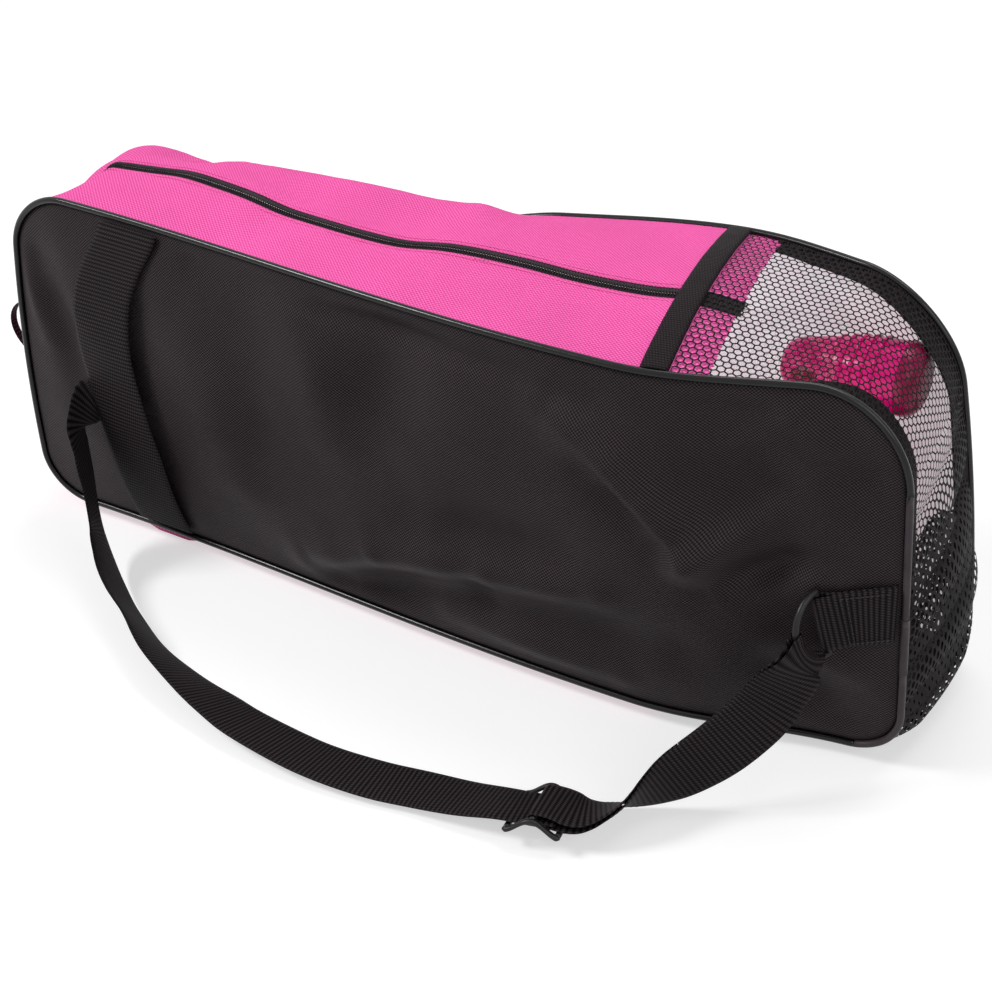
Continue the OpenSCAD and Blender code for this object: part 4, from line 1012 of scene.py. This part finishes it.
# The adjuster lies on the ground on its low bars; the strap runs over them and its end round the middle bar
GLIDE_TURN, GLIDE_TILT = np.radians((12, 14))
GLIDE_BAR, RAIL_W, GLIDE_CLEAR, GLIDE_L, BAR_LIFT, BAR_SECTION = 1.8, 4.0, 40.0, 36.0, 0.5, (1.9, 1.75)
GLIDE_O = np.array([163.0, -204.0, (GLIDE_CLEAR / 2 + RAIL_W) * math.sin(GLIDE_TILT)])
GLIDE_DIR = np.array([*circle_pt(GLIDE_TURN), 0.0])
GLIDE_CROSS = np.array([math.sin(GLIDE_TURN) * math.cos(GLIDE_TILT),
                        -math.cos(GLIDE_TURN) * math.cos(GLIDE_TILT), math.sin(GLIDE_TILT)])
GLIDE_UP = np.cross(GLIDE_CROSS, GLIDE_DIR)
GLIDE_STRAP_Z = BAR_LIFT + 2 * GLIDE_BAR + 0.8 + WEB_T / 2
GLIDE_WRAP = GLIDE_BAR + WRAP_GAP + WEB_T / 2
GLIDE_MID_Z = GLIDE_STRAP_Z + WEB_T + 0.4 + GLIDE_WRAP


def glide_pt(along, up):
    return GLIDE_O + along * GLIDE_DIR + up * GLIDE_UP


# ---- Shoulder strap ----
# The route's points, each with the direction across the strap
RING_END = (204, -186, 15)
STRAP_ROUTE = [
    ((-214, -87, 125), (0, 0, 1)), ((-238, -85.9, 125), (0, 0, 1)), ((-256, -85.7, 125), (0, 0, 1)),
    ((-260.5, -101, 112.5), (0.22, -0.36, 0.9)), ((-259.5, -104.5, 93), (0.42, -0.8, 0.25)),
    ((-258, -106, 70), (0.5, -0.85, 0)), ((-250, -116, 37), (0.52, -0.8, 0.15)),
    ((-231, -132, 22), (0.5, -0.75, 0.35)), ((-204, -153, 19), (0.45, -0.7, 0.5)),
    ((-174, -171, 17.5), (0.44, -0.68, 0.56)), ((-141, -190, 16.5), (0.38, -0.76, 0.5)),
    ((-107, -202, 12.5), (0.3, -0.85, 0.42)), ((-76, -210, 9.5), (0.2, -0.93, 0.3)),
    ((-48, -216, 7.5), (0.12, -0.95, 0.24)), ((3, -221, 5.2), (0, -0.98, 0.18)),
    ((47, -219, 4), (0.05, -0.99, 0.12)), ((80, -214, 4), (0.12, -0.98, 0.12)),
    ((112, -211, 7), (0.18, -0.96, 0.18)),
    *((glide_pt(x, GLIDE_STRAP_Z), GLIDE_CROSS) for x in (-24, -8, 8, 26)),
    (RING_END, (0.2, -0.8, 0.5)), ((219, -171, 21), (-0.25, -0.7, 0.65)),
    ((235, -156, 32), (-0.6, -0.4, 0.65)), ((254, -141, 48), (-0.72, -0.2, 0.62)),
    ((271, -126, 67), (-0.7, -0.15, 0.7)), ((281, -117, 84), (-0.55, -0.3, 0.78)),
    *((SIT_AT + RING_N * WRAP_R + x * PULL, -SIT_SIDE) for x in (12, 4, 0))]
# Steps between the route's points, and the rows in which the strap bends to the bow and parts at the adjuster
STRAP_STEPS, BOW_ROWS, GLIDE_ROWS = 3, 9, 7
GLIDE_INDEX = 20 * STRAP_STEPS - 1
STRAP_LINE, STRAP_WIDTH = (catmull([p[k] for p in STRAP_ROUTE], STRAP_STEPS) for k in (0, 1))
STRAP_LAST = len(STRAP_LINE) - 1
LAYER_STEP, STRAP_END, RING_PART_ROWS = WEB_T + 0.6, 14.0, 25


def strap_row(i, shift=0.0):
    """A row across the strap, shifted off its face and bent to the ring's bow near its end."""
    d = unit(STRAP_LINE[min(i + 1, STRAP_LAST)] - STRAP_LINE[max(i - 1, 0)])
    f = unit(np.cross(d, STRAP_WIDTH[i]))
    s = np.cross(f, d)
    b = 1 - float(ease((STRAP_LAST - i) / BOW_ROWS))
    return np.array([STRAP_LINE[i] + f * shift + s * mix(u * STRAP_W / 2, BOW_R * math.sin(SPREAD * u), b)
                     + d * b * BOW_R * (1 - math.cos(SPREAD * u)) for u in ACROSS])


def layer_off(i):
    """How far the folded-back layer lies off the strap: more round the adjuster's bar and the ring's."""
    near_glide = 1 - float(ease((i - GLIDE_INDEX) / GLIDE_ROWS))
    near_ring = 1 - float(ease((STRAP_LAST - i) / BOW_ROWS))
    return (LAYER_STEP + (GLIDE_MID_Z + GLIDE_WRAP - GLIDE_STRAP_Z - LAYER_STEP) * near_glide
            + (2 * WRAP_R - LAYER_STEP) * near_ring)


def bow_row(a):
    """A row round the ring's bow, at angle a round its bar."""
    rows = []
    for u in ACROSS:
        out = PULL * math.cos(SPREAD * u) - SIT_SIDE * math.sin(SPREAD * u)
        rows.append(RING_HINGE + BOW_R * out + WRAP_R * (out * math.cos(a) + RING_N * math.sin(a)))
    return np.array(rows)


def glide_row(along, up):
    return np.array([glide_pt(along, GLIDE_MID_Z + up) + u * STRAP_W / 2 * GLIDE_CROSS for u in ACROSS])


def strap_pieces():
    strap = webbing_mesh("shoulder_strap_webbing", [strap_row(i) for i in range(STRAP_LAST + 1)], WEBBING)
    back = [bow_row(a) for a in np.radians(np.arange(90, 271, 22.5))]
    back += [strap_row(i, -layer_off(i)) for i in range(STRAP_LAST - 1, GLIDE_INDEX, -1)]
    back += [glide_row(*circle_pt(a, GLIDE_WRAP)) for a in np.radians(np.arange(90, 271, 30))]
    back += [glide_row(x * STRAP_END, -GLIDE_WRAP) for x in (0.5, 1)]
    # the folded-back end is made in two: the part by the ring and the part by the adjuster
    upper = webbing_mesh("strap_return_upper", back[:RING_PART_ROWS + 1], WEBBING)
    lower = webbing_mesh("strap_return_lower", back[RING_PART_ROWS:], WEBBING)
    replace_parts(strap, "shoulder_strap")
    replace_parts(upper, "strap_return")
    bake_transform(strap)
    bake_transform(upper)
    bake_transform(lower)
    adjuster_piece()


TAB_SEAM_X, TAB_END_X, TAB_STANDS, TAB_BAR_X = 333.2, 333.6, 1.8, 12.0
# Its box of stitches: half height, ways in from the bar and the end, and the extra row's share of the way
BOX_HALF, BOX_IN, BOX_END, BOX_SECOND, BOX_SINK = 16, 1.5, 3, 0.12, 0.25


def tab_piece():
    """Webbing folded round the ring's bar; its two layers run to the end seam."""
    layer = WRAP_GAP + WEB_T / 2
    rise = float(front_face(TAB_SEAM_X, RING_Z)) - WEB_T - WRAP_GAP - TAB_STANDS - RING_HINGE[1]
    phi = math.atan2(rise, (TAB_SEAM_X - RING_X) / math.cos(RING_TILT))

    def place(x, y, z):
        out = x * math.cos(phi) - y * math.sin(phi)
        return RING_HINGE + np.array([out * math.cos(RING_TILT) - z * math.sin(RING_TILT),
                                      x * math.sin(phi) + y * math.cos(phi),
                                      out * math.sin(RING_TILT) + z * math.cos(RING_TILT)])

    def reach(z):
        return (TAB_END_X - RING_X + z * math.sin(RING_TILT)) / (math.cos(phi) * math.cos(RING_TILT))

    heights = ACROSS * STRAP_W / 2
    sheet = [[(reach(z) * share, z) for z in heights] for share in (1, 0.75, 0.5)]
    sheet.append([(TAB_BAR_X, z) for z in heights])
    rows = [[place(x, layer, z) for x, z in row] for row in sheet]
    for a in np.radians(np.arange(75, 286, 21)):
        rows.append([place(*circle_pt(a, WRAP_R), z) for z in heights])
    rows += [[place(x, -layer, z) for x, z in row] for row in reversed(sheet)]
    on_bag(webbing_mesh("ring_tab_webbing", rows, WEBBING), "black_webbing", "ring_tab")
    face, normal = -layer - WEB_T / 2 - BOX_SINK, place(0, -1, 0) - place(0, 0, 0)
    a, b = (place(TAB_BAR_X + BOX_IN, face, z) for z in (-BOX_HALF, BOX_HALF))
    d, c = (place(reach(z) - BOX_END, face, z) for z in (-BOX_HALF, BOX_HALF))
    second = (mix(a, d, BOX_SECOND), mix(b, c, BOX_SECOND))
    box_stitches("tab_stitches", ((a, b), (b, c), (d, a), second), normal)


def box_stitches(name, lines, normal, pitch=3.0, radius=0.3):
    """Rows of stitches on a flat place, from each line's start to its end."""
    stitches = []
    for start, end in lines:
        long = np.linalg.norm(end - start)
        ahead = (end - start) / long
        for at in np.arange(0, long - pitch * 0.6, pitch):
            middles = [start + ahead * (at + share * pitch) + normal * high
                       for share, high in ((0, -0.1), (0.2, 0.3), (0.5, 0.3), (0.7, -0.1))]
            stitches.append((middles, [np.cross(normal, ahead)] * 4, [normal] * 4))
    thread_mesh(name, stitches, radius, THREAD, "black_webbing")


LOOP_V, LOOP_REACH, LOOP_HIGH, LOOP_WIDE, LOOP_SET = 0.18, 28.0, 48.0, 6.0, 0.7
# The way from the cloth out to the loop's round part: x, and height above its radius
LOOP_FOOT = ((-1.6, 10.5), (-1.6, 6), (-2.4, 1.6), (-5.5, 0.2))


def end_loop_piece():
    """Webbing loop sewn to the closed end."""
    lift = gusset(1.0, LOOP_V) - gusset(-1.0, LOOP_V)
    lean = math.atan2(lift[0], lift[2])
    r = LOOP_HIGH / 2 - WEB_T / 2
    foot = [(x, r + z) for x, z in LOOP_FOOT]
    bow = [circle_pt(a, r) for a in np.radians(np.arange(105, 256, 15))]
    flat = foot + [(LOOP_HIGH / 2 - LOOP_REACH - LOOP_SET + x, z) for x, z in bow]
    flat += [(x, -z) for x, z in foot[::-1]]
    rows = []
    for x, z in flat:
        place = gusset(0.0, LOOP_V) + np.array([x * math.cos(lean) + z * math.sin(lean), 0,
                                                -x * math.sin(lean) + z * math.cos(lean)])
        rows.append([place + np.array([0, y, 0]) for y in ACROSS * LOOP_WIDE / 2])
    on_bag(webbing_mesh("end_loop_webbing", rows, WEBBING), "black_webbing", "end_loop")


# The rails' tips, in reaches of the bars; how square the bars are, and how the rails arch
RAIL_TIPS, RAIL_END, RAIL_ROUND, SQUARE, ARCH = (1.02, 1.09, 1.12), 1.13, 0.12, 0.75, 1.6


def rounded_section(p, across, up, wide, high, count=16):
    """A ring of points: an oval with flattened sides."""
    ring = []
    for a in turns(count):
        x, z = (math.copysign(abs(part) ** SQUARE, part) for part in circle_pt(a))
        ring.append(p + across * wide * x + up * high * z)
    return ring


def adjuster_piece():
    """Moulded slide: two arched rails, two low bars and a raised middle bar, all rounded."""
    reach, low = GLIDE_L / 2 - GLIDE_BAR, BAR_LIFT + GLIDE_BAR
    half = GLIDE_CLEAR / 2 + RAIL_W / 2
    points, faces = [], []

    def place(x, y, z):
        return GLIDE_O + x * GLIDE_DIR - y * GLIDE_CROSS + z * GLIDE_UP

    for x, z in ((-reach, low), (reach, low), (0, GLIDE_MID_Z)):
        rings = [rounded_section(place(x, y, z), GLIDE_DIR, GLIDE_UP, *BAR_SECTION)
                 for y in np.linspace(-half, half, 9)]
        add_tube(points, faces, rings, low_cap=True, high_cap=True)
    xs = [-x for x in RAIL_TIPS[::-1]] + list(np.linspace(-0.95, 0.95, 21)) + list(RAIL_TIPS)
    for side in (-1, 1):
        rings = []
        for x in xs:
            arch = math.cos(math.pi / 2 * min(abs(x), 1)) ** ARCH
            end = min(1, max(0.25, (RAIL_END - abs(x)) / RAIL_ROUND)) ** 0.5
            middle = place(x * reach, side * half, mix(low, GLIDE_MID_Z, arch))
            rings.append(rounded_section(middle, -GLIDE_CROSS, GLIDE_UP, RAIL_W / 2 * end, GLIDE_BAR * end))
        add_tube(points, faces, rings, low_cap=True, high_cap=True)
    obj = make_mesh("adjuster_moulding", points, faces, NYLON)
    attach(obj, "adjuster")
    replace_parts(obj, "strap_triglide")
    return obj


# ---- Contents ----
LEG_FROM, LEG_TO, LEG_Y, LEG_Z, LEG_NARROW, LEG_DIP = 221.0, 298.0, 24.0, 225.5, 0.70, 7.0
FILM_FROM, FILM_TO, FILM_R, FILM_GATHER, FILM_SNUG_X, FILM_SNUG = 158, 262, 25.0, 58, 216, 0.985
FILM_FOLDS, FILM_CREASE, FILM_NOISE, FILM_DROP = 7, 0.055, 0.03, 6


def film_piece():
    """Crumpled clear film round the near end of the shown leg, gathered at its closed end."""
    rows = []
    for x in np.linspace(FILM_FROM, FILM_TO, 60):
        gather = mix(0.35, 1.0, float(ease((x - FILM_FROM) / FILM_GATHER)))
        row = []
        for a in turns(64):
            y, z = circle_pt(a, FILM_R)
            wrinkle = float(soft_noise((x, LEG_Y + y, LEG_Z + z), 9, 5.0))
            fold = FILM_CREASE * (1.3 - gather) * math.sin(FILM_FOLDS * a + x / 6)
            girth = gather * (1 + fold + FILM_NOISE * wrinkle)
            if x >= FILM_SNUG_X:
                girth = max(girth, FILM_SNUG)
            row.append((x, LEG_Y + y * girth, LEG_Z + z * girth - (1 - gather) * FILM_DROP))
        rows.append(row)
    on_bag(grid_mesh("leg_film", rows, FILM, close_cols=True), "clear_film", "leg_polybag")


def shown_leg():
    """The leg in sight, from its solid: narrower towards its near end, which lies a little lower."""
    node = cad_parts["leg_1"]
    mesh = node.data.copy()
    back = node.matrix_world.inverted()
    for vertex in mesh.vertices:
        x, y, z = node.matrix_world @ vertex.co / MM
        along = min(max((x - LEG_FROM) / (LEG_TO - LEG_FROM), 0), 1)
        girth = mix(LEG_NARROW, 1.0, float(ease(along / 0.8)))
        y = LEG_Y + (y - LEG_Y) * girth
        z = LEG_Z + (z - LEG_Z) * girth - LEG_DIP * (1 - along)
        vertex.co = back @ (Vector((x, y, z)) * MM)
    obj = link(bpy.data.objects.new("leg_shown", mesh))
    obj.matrix_world = node.matrix_world
    on_bag(obj, "magenta_plastic", "leg_1")


NET_PACK, NET_PACK_WIDE, NET_PACK_HIGH, NET_PACK_HALF, NET_LAYERS = (252.0, -7.0, 1.6), 46.0, 24.5, 42.0, 7


def folded_net_piece():
    """The playing net, folded to and fro into a flat pack."""
    x0, y0, z0 = NET_PACK
    step = NET_PACK_HIGH / NET_LAYERS
    flat = []
    for k in range(NET_LAYERS):
        z = z0 + step * (k + 0.5)
        end = NET_PACK_HALF if k % 2 == 0 else -NET_PACK_HALF
        flat += [(mix(-end, end, t), z + 0.35 * math.sin(9 * t + k)) for t in np.linspace(0, 1, 7)]
        if k < NET_LAYERS - 1:
            flat.append((end + math.copysign(step * 0.45, end), z + step / 2))
    rows = [[(x0 + x, y, z) for y in y0 + ACROSS * NET_PACK_WIDE / 2] for x, z in flat]
    on_bag(webbing_mesh("folded_net_layers", rows, PLAY_NET, 0.5), "white_net", "folded_net")


def contents():
    for i in range(1, 6):
        paint(f"rim_segment_{i}", MAGENTA)
        paint(f"leg_{i}", MAGENTA)
        paint(f"leg_foot_{i}", MAROON)
    shown_leg()
    for i in range(1, 4):
        paint(f"ball_{i}", BALL)
    paint("strap_ring", NYLON)


# ---- Camera, floor and light ----
CAMERA_AT, CAMERA_TURN = (657.4, -980.2, 916.0), (33.16, 35.88, -4.99)
FOCAL_PX, PICTURE_PX, SENSOR = 2100, 992, 36.0
WORLD_LIGHT, FLOOR_GREY, FLOOR_GLOW, FLOOR_SHADE_GLOW, FLOOR_HALF = 0.25, 0.55, 0.45, 0.1, 6000
# Lamps: place, target, size in metres and strength; the last one lights what lies behind the net
LAMPS = {"key": ((-1.5, -0.95, 1.9), (0, 0, 0.1), (0.7, 0.6), 37),
         "fill": ((1.7, -0.7, 1.3), (0.1, 0, 0.1), (1.2, 1.2), 9),
         "top": ((0.3, 0.7, 2.0), (0.1, 0, 0.15), (1.6, 0.9), 20),
         "inside": ((0.255, -0.055, 0.2), (0.235, 0.06, 0.19), (0.13, 0.1), 0.025)}


def camera():
    azimuth, elevation, roll = (math.radians(a) for a in CAMERA_TURN)
    back = Vector((math.sin(azimuth) * math.cos(elevation), -math.cos(azimuth) * math.cos(elevation),
                   math.sin(elevation)))
    right = Vector((math.cos(azimuth), math.sin(azimuth), 0.0))
    up = back.cross(right)
    turned_right = right * math.cos(roll) + up * math.sin(roll)
    turned_up = up * math.cos(roll) - right * math.sin(roll)
    data = bpy.data.cameras.new("camera")
    data.sensor_width, data.lens = SENSOR, FOCAL_PX / PICTURE_PX * SENSOR
    obj = link(bpy.data.objects.new("camera", data))
    turn = Matrix((turned_right, turned_up, back)).transposed().to_4x4()
    obj.matrix_world = Matrix.Translation(Vector(CAMERA_AT) * MM) @ turn
    bpy.context.scene.camera = obj


def area_light(name, place, target, size, energy):
    data = bpy.data.lights.new(name, "AREA")
    data.shape, data.size, data.size_y, data.energy = "RECTANGLE", *size, energy
    turn = (Vector(target) - Vector(place)).to_track_quat("-Z", "Y").to_matrix().to_4x4()
    link(bpy.data.objects.new(name, data)).matrix_world = Matrix.Translation(Vector(place)) @ turn


def background_rays(tree):
    """1 for rays that find a white background: the camera's, and those of shiny and clear surfaces."""
    path = add(tree, "ShaderNodeLightPath")
    shiny = math_node(tree, "MAXIMUM", path.outputs["Is Glossy Ray"], path.outputs["Is Transmission Ray"])
    return math_node(tree, "MAXIMUM", path.outputs["Is Camera Ray"], shiny)


def studio():
    world = bpy.data.worlds.new("studio")
    world.use_nodes = True
    bpy.context.scene.world = world
    tree = world.node_tree
    soft, white = tree.nodes["Background"], add(tree, "ShaderNodeBackground")
    for node, strength in ((soft, WORLD_LIGHT), (white, 1.0)):
        put(tree, node.inputs[0], (1, 1, 1))
        put(tree, node.inputs[1], strength)
    blend = add(tree, "ShaderNodeMixShader")
    for socket, value in enumerate((background_rays(tree), soft.outputs[0], white.outputs[0])):
        tree.links.new(value, blend.inputs[socket])
    tree.links.new(blend.outputs[0], tree.nodes["World Output"].inputs[0])

    # the camera sees a white floor with the object's shadow on it
    mat, tree, shader = material("floor_white")
    glow = math_node(tree, "MULTIPLY_ADD", background_rays(tree), FLOOR_GLOW, FLOOR_SHADE_GLOW)
    set_shader(tree, shader, base_color=(FLOOR_GREY,) * 3, roughness=0.8, specular_ior_level=0.1,
               emission_color=(1, 1, 1), emission_strength=glow)
    corners = [(x * FLOOR_HALF, y * FLOOR_HALF, 0) for x, y in ((-1, -1), (1, -1), (1, 1), (-1, 1))]
    make_mesh("floor", corners, [(0, 1, 2, 3)], mat, smooth=False)
    for name, lamp in LAMPS.items():
        area_light(name, *lamp)
    bpy.context.scene.view_settings.view_transform = "Standard"


camera()
strap_pieces()
panel_piece("front_panel", front_pt, -1, FRONT_BELLY, FRONT_FOLDS, 4.0)
panel_piece("back_panel", back_pt, 1, BACK_BELLY, BACK_FOLDS, 3.0)
pipings()
gusset_pieces()
bindings()
frayed_hem()
net_pieces()
zip_pieces()
band_piece()
tab_piece()
end_loop_piece()
film_piece()
folded_net_piece()
contents()
studio()
